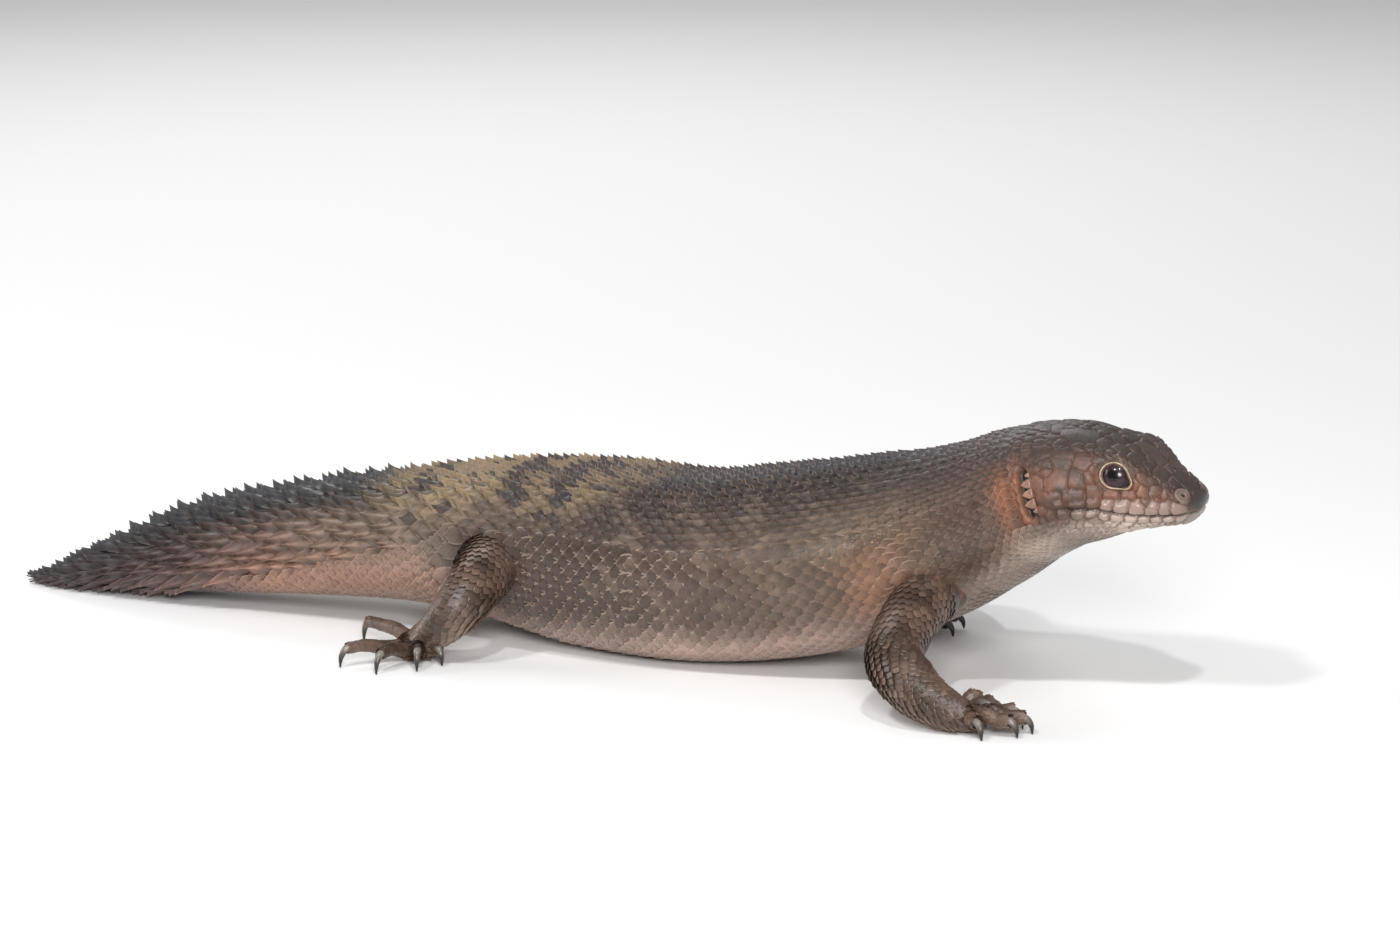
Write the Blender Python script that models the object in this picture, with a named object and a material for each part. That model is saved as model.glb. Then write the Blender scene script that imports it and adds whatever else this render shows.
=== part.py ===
"""A gidgee skink at life size, walking pose held still, resting on its belly, feet and tail.

Sizes are millimetres until a mesh is made, which turns them to metres. +X runs to the
snout, +Y to the animal's left and +Z up from the floor. The body is one smooth tube along
the spine, divided where its parts are named, and each limb is a tube along its own bones.
"""

import math

import bmesh
import bpy
import numpy as np

MM = 0.001
GAP = 0.3
ORIGIN = np.array([-5.24, 2.02, 0.0])
FUSE_SINK = 1.6
SLIVER, LEG_SLIVER = 0.003, 0.03

# Cross-sections along the spine, tail tip to snout tip: place of the middle, half width,
# height above and below the middle, and how square the upper and lower halves are.
STATIONS = (
    # name         x       y      z     half   up    down  sq.up sq.down
    ("tail tip", -141.5, -8.2, 1.4, 0.8, 0.8, 0.8, 2.0, 2.0),
    ("tail end", -131.0, -7.0, 3.0, 4.0, 2.4, 2.4, 2.2, 2.2),
    ("tail far", -113.0, -4.8, 6.4, 8.6, 7.0, 4.8, 2.3, 2.3),
    ("tail middle", -92.0, -2.6, 9.8, 12.6, 12.0, 7.2, 2.4, 2.4),
    ("tail near", -68.0, -0.6, 13.0, 15.6, 14.8, 9.0, 2.5, 2.3),
    ("tail root", -46.0, 0.4, 16.0, 18.0, 16.0, 11.4, 2.6, 2.2),
    ("hips", -24.0, 1.0, 18.6, 22.0, 16.8, 15.4, 2.7, 2.2),
    ("loin", -2.0, 1.0, 19.4, 25.5, 17.6, 19.7, 2.6, 2.5),
    ("belly", 22.0, 0.6, 20.0, 27.0, 17.2, 20.6, 2.3, 2.6),
    ("ribs", 46.0, 0.0, 23.2, 25.0, 18.8, 20.2, 2.1, 2.4),
    ("shoulder", 69.0, -0.8, 29.4, 21.0, 17.8, 18.6, 2.1, 2.2),
    ("neck", 84.0, -1.6, 35.4, 17.6, 16.4, 15.8, 2.1, 2.2),
    ("nape", 94.0, -2.2, 40.2, 16.2, 15.6, 13.6, 2.2, 2.2),
    ("jaw", 102.0, -2.8, 43.4, 16.0, 13.9, 12.4, 2.3, 2.3),
    ("temple", 109.0, -3.4, 44.8, 14.4, 12.1, 11.5, 2.4, 2.3),
    ("eye", 116.0, -4.2, 45.2, 12.0, 9.6, 9.6, 2.5, 2.4),
    ("lore", 122.0, -5.1, 44.3, 9.8, 6.7, 7.0, 2.4, 2.3),
    ("nostril", 127.0, -5.9, 43.3, 7.6, 4.8, 4.6, 2.3, 2.3),
    ("snout", 129.6, -6.4, 42.8, 5.4, 3.7, 3.3, 2.2, 2.2),
    ("snout tip", 130.8, -6.6, 42.4, 0.8, 0.6, 0.6, 2.0, 2.0),
)
TABLE = np.array([row[1:] for row in STATIONS])

# Swellings and hollows alike on both sides: place along X, angle from the back, reach
# along X, reach in angle, and height outwards.
SWELLINGS = {
    "brow ridge": (117.0, 46.0, 4.4, 13.0, 1.5),
    "eye hollow": (116.5, 80.0, 3.4, 12.0, -0.8),
    "lore hollow": (124.0, 66.0, 3.0, 12.0, -0.5),
    "jaw muscle": (102.0, 98.0, 6.0, 26.0, 1.3),
    "neck hollow": (91.0, 84.0, 4.0, 24.0, -0.8),
    "nose": (128.4, 66.0, 2.2, 18.0, 0.3),
    "shoulder": (77.0, 105.0, 7.0, 24.0, 1.2),
    "thigh": (-21.0, 88.0, 9.0, 26.0, 1.4),
}

# Named lengths of the body, each node from the snout tip backwards, with the spacing of
# its rings and the number of its facets.
HEAD_LENGTH = 41.5
NECK_LENGTH = 13.0
TORSO_LENGTH = 99.0
HIPS_LENGTH = 31.0
TAIL_BASE_LENGTH = 50.0
SPINE_NODES = (
    ("neck", HEAD_LENGTH, NECK_LENGTH, 4.2, 32),
    ("torso", HEAD_LENGTH + NECK_LENGTH, TORSO_LENGTH, 6.2, 30),
    ("hips", HEAD_LENGTH + NECK_LENGTH + TORSO_LENGTH, HIPS_LENGTH, 6.2, 30),
    (
        "tail_base",
        HEAD_LENGTH + NECK_LENGTH + TORSO_LENGTH + HIPS_LENGTH,
        TAIL_BASE_LENGTH,
        7.1,
        26,
    ),
)
TAIL_END_START = HEAD_LENGTH + NECK_LENGTH + TORSO_LENGTH + HIPS_LENGTH + TAIL_BASE_LENGTH
HEAD_RINGS, HEAD_FACETS = 22, 36
TAIL_END_RINGS, TAIL_END_FACETS = 8, 22
LEG_RINGS, LEG_FACETS = 12, 14
# Rows of a leg's table over which its rings turn, so that they don't cross at the knee.
LEG_EASE = 0.8
ANKLE_RINGS, TOE_RINGS, TOE_FACETS, CLAW_FACETS = 6, 6, 8, 6
# Share of the head's rings that are set closer together towards the snout.
HEAD_RINGS_FORWARD = 0.35

# Spines and keeled scales of the back: along the spine from the snout, their length, width,
# rise of the tip, spacing of the rows, and how far down the sides they reach in degrees.
SPINE_SIZES = np.array((
    # from snout, length, width, rise, rows, reach
    (44.0, 4.2, 3.6, 0.8, 6.2, 40.0),
    (100.0, 5.6, 4.6, 1.0, 8.2, 44.0),
    (150.0, 6.0, 4.8, 1.2, 7.6, 48.0),
    (188.0, 7.6, 5.4, 1.9, 7.0, 92.0),
    (235.0, 7.6, 5.2, 2.0, 6.6, 100.0),
    (262.0, 5.6, 3.6, 1.5, 5.2, 105.0),
    (276.0, 3.4, 1.8, 0.7, 3.4, 80.0),
))
SPINE_SPREAD = 1.18
SPINE_FRONT_SINK, SPINE_SIDE_SINK, SPINE_ROOT_SINK = 0.4, 0.35, 1.4

EYE_RADIUS = 4.0
EYE_DEPTH = 3.6
EYE_X, EYE_ANGLE = 116.6, 66.0
EYE_FORWARD, EYE_UP = 0.12, 0.26
HEAD_TURN = 6.6
LID_RADIUS, LID_CORNER, LID_CORNER_ANGLE = 3.05, 0.5, -28.0
LID_WIDTH, LID_HEIGHT = 0.55, 1.1
LID_TURNS, LID_FACETS = 24, 6
EAR_X, EAR_ANGLE = 100.2, 82.0
EAR_LEAN = 0.42
EAR_SIZE = (1.25, 2.6, 4.4)
# Height and half width of each pointed scale over the ear, and how it stands at the edge.
EAR_LOBULES = ((3.2, 0.65), (1.5, 0.8), (-0.4, 0.85), (-2.3, 0.75))
LOBULE_ROOT, LOBULE_LENGTH, LOBULE_FOOT, LOBULE_RISE = 1.9, 2.0, 1.3, 0.35
NOSTRIL_X, NOSTRIL_ANGLE, NOSTRIL_RADIUS, NOSTRIL_DEPTH = 128.7, 48.0, 0.8, 1.1
MOUTH_BACK, MOUTH_FRONT = 104.5, 130.2
MOUTH_WIDTH, MOUTH_DEPTH = 0.5, 1.0
LIP_HEIGHT, LIP_REACH, LIP_SPREAD = 0.4, 1.5, 0.9

# Bones of each limb from inside the body to the wrist or ankle: x, y, z, half width and
# half thickness. The feet stand where the pose puts them.
LIMBS = {
    "front_leg_right": (
        (78.0, -9.0, 22.6, 6.6, 6.4),
        (76.6, -21.0, 20.4, 6.1, 6.0),
        (76.4, -34.5, 14.0, 5.9, 5.9),
        (81.2, -39.2, 9.2, 5.6, 5.4),
        (86.8, -40.2, 5.8, 4.7, 4.3),
        (91.0, -39.5, 4.0, 4.2, 3.4),
    ),
    "front_leg_left": (
        (77.0, 9.0, 22.6, 6.6, 6.4),
        (74.0, 21.0, 21.0, 6.1, 6.0),
        (64.0, 36.0, 18.6, 5.9, 5.9),
        (53.5, 39.4, 14.2, 5.6, 5.4),
        (47.0, 38.2, 8.2, 4.7, 4.3),
        (45.6, 36.6, 4.6, 4.2, 3.4),
    ),
    "hind_leg_right": (
        (-21.5, -8.0, 18.0, 8.4, 8.2),
        (-21.2, -19.5, 19.2, 7.2, 7.0),
        (-19.6, -29.0, 18.0, 6.0, 5.9),
        (-22.4, -33.4, 12.4, 4.9, 4.8),
        (-27.8, -32.4, 7.2, 3.9, 3.7),
        (-32.0, -32.0, 3.9, 4.0, 3.2),
    ),
    "hind_leg_left": (
        (-21.0, 9.0, 18.0, 8.4, 8.2),
        (-19.0, 21.0, 19.0, 7.4, 7.2),
        (-9.0, 34.0, 18.8, 6.6, 6.6),
        (-7.6, 38.4, 12.6, 5.2, 5.1),
        (-3.6, 38.6, 7.2, 3.8, 3.6),
        (0.6, 37.8, 3.9, 4.0, 3.2),
    ),
}
# Each foot: middle of its palm or sole, the way it points in degrees from +X, and its
# five digits from the innermost: direction, reach to the claw's tip and lift of its knuckle.
FEET = {
    "front_foot_right": (
        (91.6, -38.6),
        10.0,
        ((62.0, 10.4, 1.8), (28.0, 13.2, 1.0), (12.0, 15.2, 0), (-4.0, 13.2, 0), (-38.0, 9.4, 0)),
    ),
    "front_foot_left": (
        (46.8, 35.8),
        0.0,
        ((-74.0, 9.5, 0), (-44.0, 13.2, 0), (-17.0, 17.6, -0.8), (8.0, 16.6, -0.8), (50.0, 9.8, 0)),
    ),
    "hind_foot_right": (
        (-32.5, -31.5),
        -98.0,
        ((-32.0, 8.6, -1.2), (-67.0, 11.8, 0), (-97.0, 16.6, 0), (-128.0, 18.6, 0), (-202.0, 18.6, 1.4)),
    ),
    "hind_foot_left": (
        (3.4, 37.2),
        28.0,
        ((-50.0, 9.4, 0), (-4.0, 12.6, 0), (26.0, 17.0, 0), (52.0, 18.4, 0), (108.0, 15.6, 0)),
    ),
}
PALM_SIZE = (4.8, 4.4, 3.2)
PALM_HEIGHT = 3.0
# Half thickness of the toes at root and tip, height of their knuckles and of their tips.
TOES = {"front": (2.0, 1.55, 4.2, 3.4), "hind": (1.8, 1.2, 3.3, 4.2)}
CLAW_REACH, CLAW_SHARE = 2.9, 0.3
CLAW_ROOT_RADIUS, CLAW_TIP_RADIUS = 0.95, 0.16
ANKLE_SHARE = 0.68

SKIN_COLOURS = {
    "head": (0.30, 0.19, 0.14),
    "body": (0.25, 0.17, 0.13),
    "tail": (0.14, 0.11, 0.10),
    "limb": (0.17, 0.11, 0.085),
    "eye": (0.02, 0.012, 0.012),
    "claw": (0.24, 0.20, 0.18),
}
ROUGHNESS = {"eye": 0.08, "claw": 0.3}


def through(rows, t):
    """Values of a smooth curve through rows, where t counts rows from 0."""
    t = np.clip(np.asarray(t, float), 0, len(rows) - 1)
    i = np.minimum(t.astype(int), len(rows) - 2)
    u = (t - i)[..., None]
    a, b = rows[np.maximum(i - 1, 0)], rows[i]
    c, d = rows[i + 1], rows[np.minimum(i + 2, len(rows) - 1)]
    cubic = (3 * b - a - 3 * c + d) * u**3 + (2 * a - 5 * b + 4 * c - d) * u**2
    return 0.5 * (cubic + (c - a) * u + 2 * b)


def unit(v):
    return v / np.maximum(np.linalg.norm(v, axis=-1, keepdims=True), 1e-9)


def frame_along(rows, t, reference, step=0.02):
    """Middle, forward, side and up directions of a curve through rows at t."""
    middle = through(rows, t)[..., :3]
    forward = unit(through(rows, t + step)[..., :3] - through(rows, t - step)[..., :3])
    side = unit(np.cross(reference, forward))
    return middle, forward, side, np.cross(forward, side)


FINE = np.linspace(0, len(TABLE) - 1, 2001)
ARC = np.concatenate(
    [[0], np.cumsum(np.linalg.norm(np.diff(through(TABLE, FINE)[:, :3], axis=0), axis=1))]
)


def behind_snout(distance):
    """Station number of the place this far behind the snout tip along the spine."""
    return np.interp(ARC[-1] - np.asarray(distance, float), ARC, FINE)


def mouth_height(x):
    """Height of the mouth line, which dips under the eye and rises again to the snout."""
    return np.interp(x, (105.0, 113.0, 117.0, 122.0, 131.0), (42.4, 42.5, 41.7, 41.5, 42.0))


def skin_points(t, degrees, lift=0.0):
    """Points of the skin at stations t and angles from the back, moved out by lift."""
    t, degrees = np.broadcast_arrays(np.asarray(t, float), np.asarray(degrees, float))
    middle, _, side, up = frame_along(TABLE, t, np.array([0.0, 0.0, 1.0]))
    row = through(TABLE, t)
    angle = np.radians(degrees)
    s, c = np.sin(angle), np.cos(angle)
    upper = c > 0
    height = np.where(upper, row[..., 4], row[..., 5])
    power = np.where(upper, row[..., 6], row[..., 7])
    across = np.sign(s) * np.abs(s) ** (2 / power)
    above = np.sign(c) * np.abs(c) ** (2 / power)
    point = middle + side * (row[..., 3] * across)[..., None]
    point = point + up * (height * above)[..., None]
    out_side = np.sign(across) * np.abs(across) ** (power - 1) / row[..., 3]
    out_up = np.sign(above) * np.abs(above) ** (power - 1) / height
    out = unit(side * out_side[..., None] + up * out_up[..., None])
    rise = np.zeros(t.shape)
    for x, at, reach_x, reach_angle, size in SWELLINGS.values():
        beyond = (np.abs(np.degrees(np.arctan2(s, c))) - at) / reach_angle
        rise = rise + size * np.exp(-(((point[..., 0] - x) / reach_x) ** 2) - beyond**2)
    off_mouth = (np.abs(point[..., 2] - mouth_height(point[..., 0])) - LIP_SPREAD) / LIP_REACH
    lips = np.clip((point[..., 0] - MOUTH_BACK) / 6, 0, 1)
    rise = rise + LIP_HEIGHT * lips * np.exp(-(off_mouth**2))
    point = point + out * (rise + lift)[..., None]
    point[..., 2] = np.maximum(point[..., 2], 0)
    return point


def skin_normal(t, degrees):
    return unit(skin_points(t, degrees, 1.0) - skin_points(t, degrees))


def station_of(x):
    """Station number where the spine passes this x."""
    return np.interp(x, through(TABLE, FINE)[:, 0], FINE)


def material(name):
    made = bpy.data.materials.get(name)
    if made is None:
        made = bpy.data.materials.new(name)
        made.use_nodes = True
        shader = made.node_tree.nodes["Principled BSDF"]
        shader.inputs["Base Color"].default_value = (*SKIN_COLOURS[name], 1)
        shader.inputs["Roughness"].default_value = ROUGHNESS.get(name, 0.5)
        shader.inputs["Metallic"].default_value = 0.0
    return made


def mesh_object(name, points, faces, finish):
    """An object from points in millimetres, its faces turned outwards."""
    mesh = bpy.data.meshes.new(name)
    mesh.from_pydata((np.asarray(points) - ORIGIN) * MM, [], faces)
    form = bmesh.new()
    form.from_mesh(mesh)
    bmesh.ops.recalc_face_normals(form, faces=form.faces)
    form.to_mesh(mesh)
    form.free()
    mesh.materials.append(material(finish))
    mesh.shade_smooth()
    mesh.set_sharp_from_angle(angle=math.radians(38))
    obj = bpy.data.objects.new(name, mesh)
    bpy.context.scene.collection.objects.link(obj)
    return obj


def loft(name, rings, finish):
    """A closed tube through rings of equally many points, flat at both ends."""
    count = len(rings[0])
    faces = [
        (
            i * count + j,
            i * count + (j + 1) % count,
            (i + 1) * count + (j + 1) % count,
            (i + 1) * count + j,
        )
        for i in range(len(rings) - 1)
        for j in range(count)
    ]
    faces.append(tuple(range(count)))
    faces.append(tuple(range((len(rings) - 1) * count, len(rings) * count)))
    return mesh_object(name, np.concatenate(rings), faces, finish)


def ring_angles(facets):
    return (np.arange(facets) + 0.5) * 360 / facets


def body_rings(stations, facets, lift=0.0):
    return [skin_points(t, ring_angles(facets), lift) for t in stations]


def node_stations(start, length, spacing):
    """Stations of a spine node's rings, half the gap inside each of its ends."""
    inner = np.linspace(start + GAP / 2, start + length - GAP / 2, round(length / spacing) + 1)
    return behind_snout(inner)


def limb_rings(rows, shares, facets, ease=0.02):
    """Oval rings along a limb at shares of its whole curve, flat where they meet the floor."""
    rows = np.array(rows)
    turn = np.radians(ring_angles(facets))
    rings = []
    for share in shares:
        t = share * (len(rows) - 1)
        middle, _, side, up = frame_along(rows, t, np.array([0.05, 0.05, 1.0]), ease)
        half, thick = through(rows, t)[3:5]
        ring = middle + np.outer(np.sin(turn) * half, side) + np.outer(np.cos(turn) * thick, up)
        ring[:, 2] = np.maximum(ring[:, 2], 0)
        rings.append(ring)
    return rings


def ellipsoid(name, middle, axes, sizes, finish, segments=16, rows=8):
    """An ellipsoid with its half sizes along three given directions, flat on the floor."""
    form = bmesh.new()
    bmesh.ops.create_uvsphere(form, u_segments=segments, v_segments=rows, radius=1.0)
    points = np.array([v.co for v in form.verts])
    faces = [[v.index for v in face.verts] for face in form.faces]
    form.free()
    points = np.asarray(middle) + (points * sizes) @ np.asarray(axes)
    points[:, 2] = np.maximum(points[:, 2], 0)
    return mesh_object(name, points, faces, finish)


def apply_boolean(obj, operation, others, solver="EXACT", sliver=SLIVER):
    """Joins or cuts obj with all the others in one Boolean, and removes them."""
    group = bpy.data.collections.new(obj.name + "_pieces")
    bpy.context.scene.collection.children.link(group)
    for other in others:
        bpy.context.scene.collection.objects.unlink(other)
        group.objects.link(other)
    change = obj.modifiers.new("change", "BOOLEAN")
    change.operation = operation
    change.solver = solver
    change.operand_type = "COLLECTION"
    change.collection = group
    bpy.context.view_layer.update()
    graph = bpy.context.evaluated_depsgraph_get()
    changed = bpy.data.meshes.new_from_object(obj.evaluated_get(graph))
    obj.modifiers.remove(change)
    obj.data = changed
    for other in others:
        bpy.data.objects.remove(other)
    bpy.data.collections.remove(group)
    keep_largest(obj, sliver)
    return obj


def keep_largest(obj, sliver):
    """Melts slivers away and keeps only the closed surface with the largest volume."""
    form = bmesh.new()
    form.from_mesh(obj.data)
    bmesh.ops.remove_doubles(form, verts=form.verts, dist=sliver * MM)
    bmesh.ops.dissolve_degenerate(form, edges=form.edges, dist=sliver * MM)
    bmesh.ops.triangulate(form, faces=form.faces)
    left = set(form.faces)
    parts = []
    while left:
        seed = left.pop()
        found, edge = {seed}, [seed]
        while edge:
            face = edge.pop()
            near = {g for e in face.edges for g in e.link_faces} - found
            found |= near
            edge.extend(near)
        left -= found
        volume = sum(
            f.verts[0].co.dot(f.verts[1].co.cross(f.verts[2].co)) for f in found
        )
        parts.append((abs(volume), found))
    largest = max(parts, key=lambda part: part[0])[1]
    bmesh.ops.delete(form, geom=[f for f in form.faces if f not in largest], context="FACES")
    form.to_mesh(obj.data)
    form.free()


def eye_frame(sign):
    """Middle of an eyeball and the directions forward, up and out of the head."""
    turn = math.radians(HEAD_TURN)
    ahead = np.array([math.cos(turn), -math.sin(turn), 0.0])
    aside = np.array([math.sin(turn), math.cos(turn), 0.0]) * sign
    out = unit(aside + EYE_FORWARD * ahead + np.array([0.0, 0.0, EYE_UP]))
    middle = skin_points(station_of(EYE_X), sign * EYE_ANGLE) - out * EYE_DEPTH
    forward = unit(ahead - out * (out @ ahead))
    return middle, forward, np.cross(out, forward) * sign, out


def eyelid(sign):
    """The ring of lids, a little longer than high and pointed in front."""
    middle, forward, up, out = eye_frame(sign)
    corner = math.radians(LID_CORNER_ANGLE)
    last = LID_TURNS * LID_FACETS
    points, faces = [], []
    for i in range(LID_TURNS):
        a = 2 * math.pi * i / LID_TURNS
        ray = math.cos(a) * forward + math.sin(a) * up
        reach = LID_RADIUS + LID_CORNER * max(0.0, math.cos(a - corner)) ** 6
        rise = math.sqrt((EYE_RADIUS + LID_HEIGHT / 2) ** 2 - LID_RADIUS**2)
        centre = middle + out * (rise - LID_HEIGHT / 2) + reach * ray
        for j in range(LID_FACETS):
            b = 2 * math.pi * j / LID_FACETS
            across, above = LID_WIDTH * math.cos(b), LID_HEIGHT * math.sin(b)
            points.append(centre + across * ray + above * out)
            k = i * LID_FACETS + j
            beside = i * LID_FACETS + (j + 1) % LID_FACETS
            faces.append((k, beside, (beside + LID_FACETS) % last, (k + LID_FACETS) % last))
    return mesh_object("eyelid", points, faces, "head")


def ear_frame(sign):
    t = station_of(EAR_X)
    out = skin_normal(t, sign * EAR_ANGLE)
    lean = np.array([1.0, 0.0, EAR_LEAN])
    forward = unit(lean - out * (out @ lean))
    return skin_points(t, sign * EAR_ANGLE), forward, np.cross(out, forward) * sign, out


def ear_lobules(sign):
    """The pointed scales that stand back from the front edge over the ear's opening."""
    middle, forward, up, out = ear_frame(sign)
    made = []
    for height, size in EAR_LOBULES:
        root = middle + forward * LOBULE_ROOT + up * height
        corners = [
            root + up * size - out * FUSE_SINK,
            root - up * size - out * FUSE_SINK,
            root + forward * LOBULE_FOOT - out * FUSE_SINK,
            root + up * size + out * LOBULE_RISE,
            root - up * size + out * LOBULE_RISE,
            root + forward * LOBULE_FOOT - out * LOBULE_RISE,
            root - forward * LOBULE_LENGTH * size + out * LOBULE_RISE,
        ]
        faces = [(0, 2, 1), (3, 4, 5), (3, 6, 4), (0, 1, 6)]
        faces += [(0, 6, 3), (1, 4, 6), (1, 2, 5), (1, 5, 4), (2, 0, 3), (2, 3, 5)]
        made.append(mesh_object("lobule", corners, faces, "head"))
    return made


def mouth_cutter():
    """A thin slab along the mouth line, with the inside of the head taken out of it."""
    xs = np.linspace(MOUTH_BACK, MOUTH_FRONT + 5, 14)
    wide, half = 30.0, MOUTH_WIDTH / 2
    rings = []
    for x in xs:
        z = mouth_height(x)
        corners = [(x, -wide, z - half), (x, wide, z - half), (x, wide, z + half)]
        rings.append(np.array([*corners, (x, -wide, z + half)]))
    slab = loft("mouth", rings, "head")
    inside = np.linspace(station_of(MOUTH_BACK - 4), station_of(MOUTH_FRONT), HEAD_RINGS)
    core = loft("core", body_rings(inside, HEAD_FACETS, -MOUTH_DEPTH), "head")
    return apply_boolean(slab, "DIFFERENCE", [core], "MANIFOLD")


def make_head():
    share = np.linspace(0, 1, HEAD_RINGS)
    share = HEAD_RINGS_FORWARD * share**2 + (1 - HEAD_RINGS_FORWARD) * share
    distances = (HEAD_LENGTH - GAP / 2) * share
    head = loft("head", body_rings(behind_snout(distances), HEAD_FACETS), "head")
    added = [eyelid(sign) for sign in (1, -1)]
    apply_boolean(head, "UNION", added, "MANIFOLD")
    cutters = [mouth_cutter()]
    for sign in (1, -1):
        middle, forward, up, out = eye_frame(sign)
        size = (EYE_RADIUS + GAP,) * 3
        cutters.append(ellipsoid("socket", middle, (forward, up, out), size, "head", 20, 10))
        middle, forward, up, out = ear_frame(sign)
        cutters.append(ellipsoid("ear", middle, (forward, out, up), EAR_SIZE, "head", 12, 8))
        t = station_of(NOSTRIL_X)
        out = skin_normal(t, sign * NOSTRIL_ANGLE)
        middle = skin_points(t, sign * NOSTRIL_ANGLE)
        size = (NOSTRIL_RADIUS, NOSTRIL_RADIUS, NOSTRIL_DEPTH)
        axes = (np.cross([0, 0, 1.0], out), np.cross(out, np.cross([0, 0, 1.0], out)), out)
        cutters.append(ellipsoid("nostril", middle, axes, size, "head", 8, 6))
    apply_boolean(head, "DIFFERENCE", cutters, "MANIFOLD")
    lobules = ear_lobules(1) + ear_lobules(-1)
    return apply_boolean(head, "UNION", lobules, "MANIFOLD")


def make_eyes():
    for name, sign in (("eye_left", 1), ("eye_right", -1)):
        middle, forward, up, out = eye_frame(sign)
        ellipsoid(name, middle, (forward, up, out), (EYE_RADIUS,) * 3, "eye", 18, 10)


def spine_wedge(at, angle, spread, length, rise):
    """One spine: a low wedge, sunk in front and at its sides, with its tip raised behind."""
    side = behind_snout(at + 0.6 * length)
    corners = [
        skin_points(behind_snout(at), angle, -SPINE_FRONT_SINK),
        skin_points(side, angle - spread, -SPINE_SIDE_SINK),
        skin_points(side, angle + spread, -SPINE_SIDE_SINK),
        skin_points(behind_snout(at + 0.75 * length), angle, -SPINE_ROOT_SINK),
        skin_points(behind_snout(at + length), angle, rise),
    ]
    faces = [(0, 1, 4), (0, 4, 2), (1, 3, 4), (3, 2, 4), (0, 3, 1), (0, 2, 3)]
    return mesh_object("spine", corners, faces, "tail")


def add_spines(obj, start, length):
    """Sets rows of spines on a node, each row between the spines of the row before."""
    made = []
    at, offset = start + 1.0, 0.0
    while True:
        sizes = [np.interp(at, SPINE_SIZES[:, 0], column) for column in SPINE_SIZES.T[1:]]
        long, wide, rise, rows, reach = sizes
        if at + long > start + length - GAP:
            break
        radius = through(TABLE, behind_snout(at + long / 2))[3]
        step = math.degrees(SPINE_SPREAD * wide / radius)
        half = math.degrees(wide / 2 / radius)
        count = int(reach / step)
        for k in range(-count, count + 1):
            angle = (k + offset) * step
            if abs(angle) <= reach:
                made.append(spine_wedge(at, angle, half, long, rise))
        at, offset = at + rows, 0.5 - offset
    return apply_boolean(obj, "UNION", made)


def make_spine():
    """Neck, torso, hips and the two lengths of the tail, with their spines."""
    for name, start, length, spacing, facets in SPINE_NODES:
        finish = "tail" if name.startswith("tail") else "body"
        stations = node_stations(start, length, spacing)
        add_spines(loft(name, body_rings(stations, facets), finish), start, length)
    last = ARC[-1] - TAIL_END_START
    share = np.linspace(0, 1, TAIL_END_RINGS)
    distances = TAIL_END_START + GAP / 2 + (last - GAP / 2) * share
    tail = loft("tail_end", body_rings(behind_snout(distances), TAIL_END_FACETS), "tail")
    add_spines(tail, TAIL_END_START, last)


def body_cutter():
    """The body with the gap added all over, for cutting the limbs' roots to its skin."""
    stations = []
    for _, start, length, spacing, _ in SPINE_NODES:
        stations.extend(node_stations(start, length, spacing))
    return loft("body_cutter", body_rings(stations, 32, GAP), "body")


def make_legs():
    for name, rows in LIMBS.items():
        reach = ANKLE_SHARE - GAP / 2 / limb_length(rows)
        shares = np.linspace(0, reach, LEG_RINGS)
        leg = loft(name, limb_rings(rows, shares, LEG_FACETS, LEG_EASE), "limb")
        apply_boolean(leg, "DIFFERENCE", [body_cutter()], sliver=LEG_SLIVER)


def limb_length(rows):
    points = through(np.array(rows), np.linspace(0, len(rows) - 1, 200))[:, :3]
    return float(np.linalg.norm(np.diff(points, axis=0), axis=1).sum())


def digit_path(palm, degrees, reach, lift, shape):
    """Points of a toe from inside the palm to its tip, and of the claw beyond it."""
    root_radius, tip_radius, knuckle, tip_height = shape
    way = np.array([math.cos(math.radians(degrees)), math.sin(math.radians(degrees)), 0.0])
    palm = np.array([*palm, 0.0])
    claw_reach = min(CLAW_REACH, CLAW_SHARE * reach)
    toe_reach = reach - claw_reach
    toe = []
    knuckle += lift
    tip_height += lift / 2
    for share, height in ((0.12, 3.0), (0.5, knuckle), (0.8, tip_height), (1.0, tip_height)):
        radius = root_radius + (tip_radius - root_radius) * share
        point = palm + way * toe_reach * share + (0, 0, height)
        toe.append((*point, radius, radius))
    end = np.array(toe[-1][:3])
    slope = unit(end - np.array(toe[-2][:3]))
    root = end + slope * GAP
    claw = [(*root, CLAW_ROOT_RADIUS, CLAW_ROOT_RADIUS)]
    for share, height, radius in ((0.5, 0.94, 0.8), (0.9, 0.55, 0.5), (1.0, 0.0, 0.0)):
        point = root + way * (claw_reach - GAP) * share
        point[2] = CLAW_TIP_RADIUS + (root[2] - CLAW_TIP_RADIUS) * height
        size = CLAW_TIP_RADIUS + (CLAW_ROOT_RADIUS - CLAW_TIP_RADIUS) * radius
        claw.append((*point, size, size))
    return toe, claw


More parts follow.
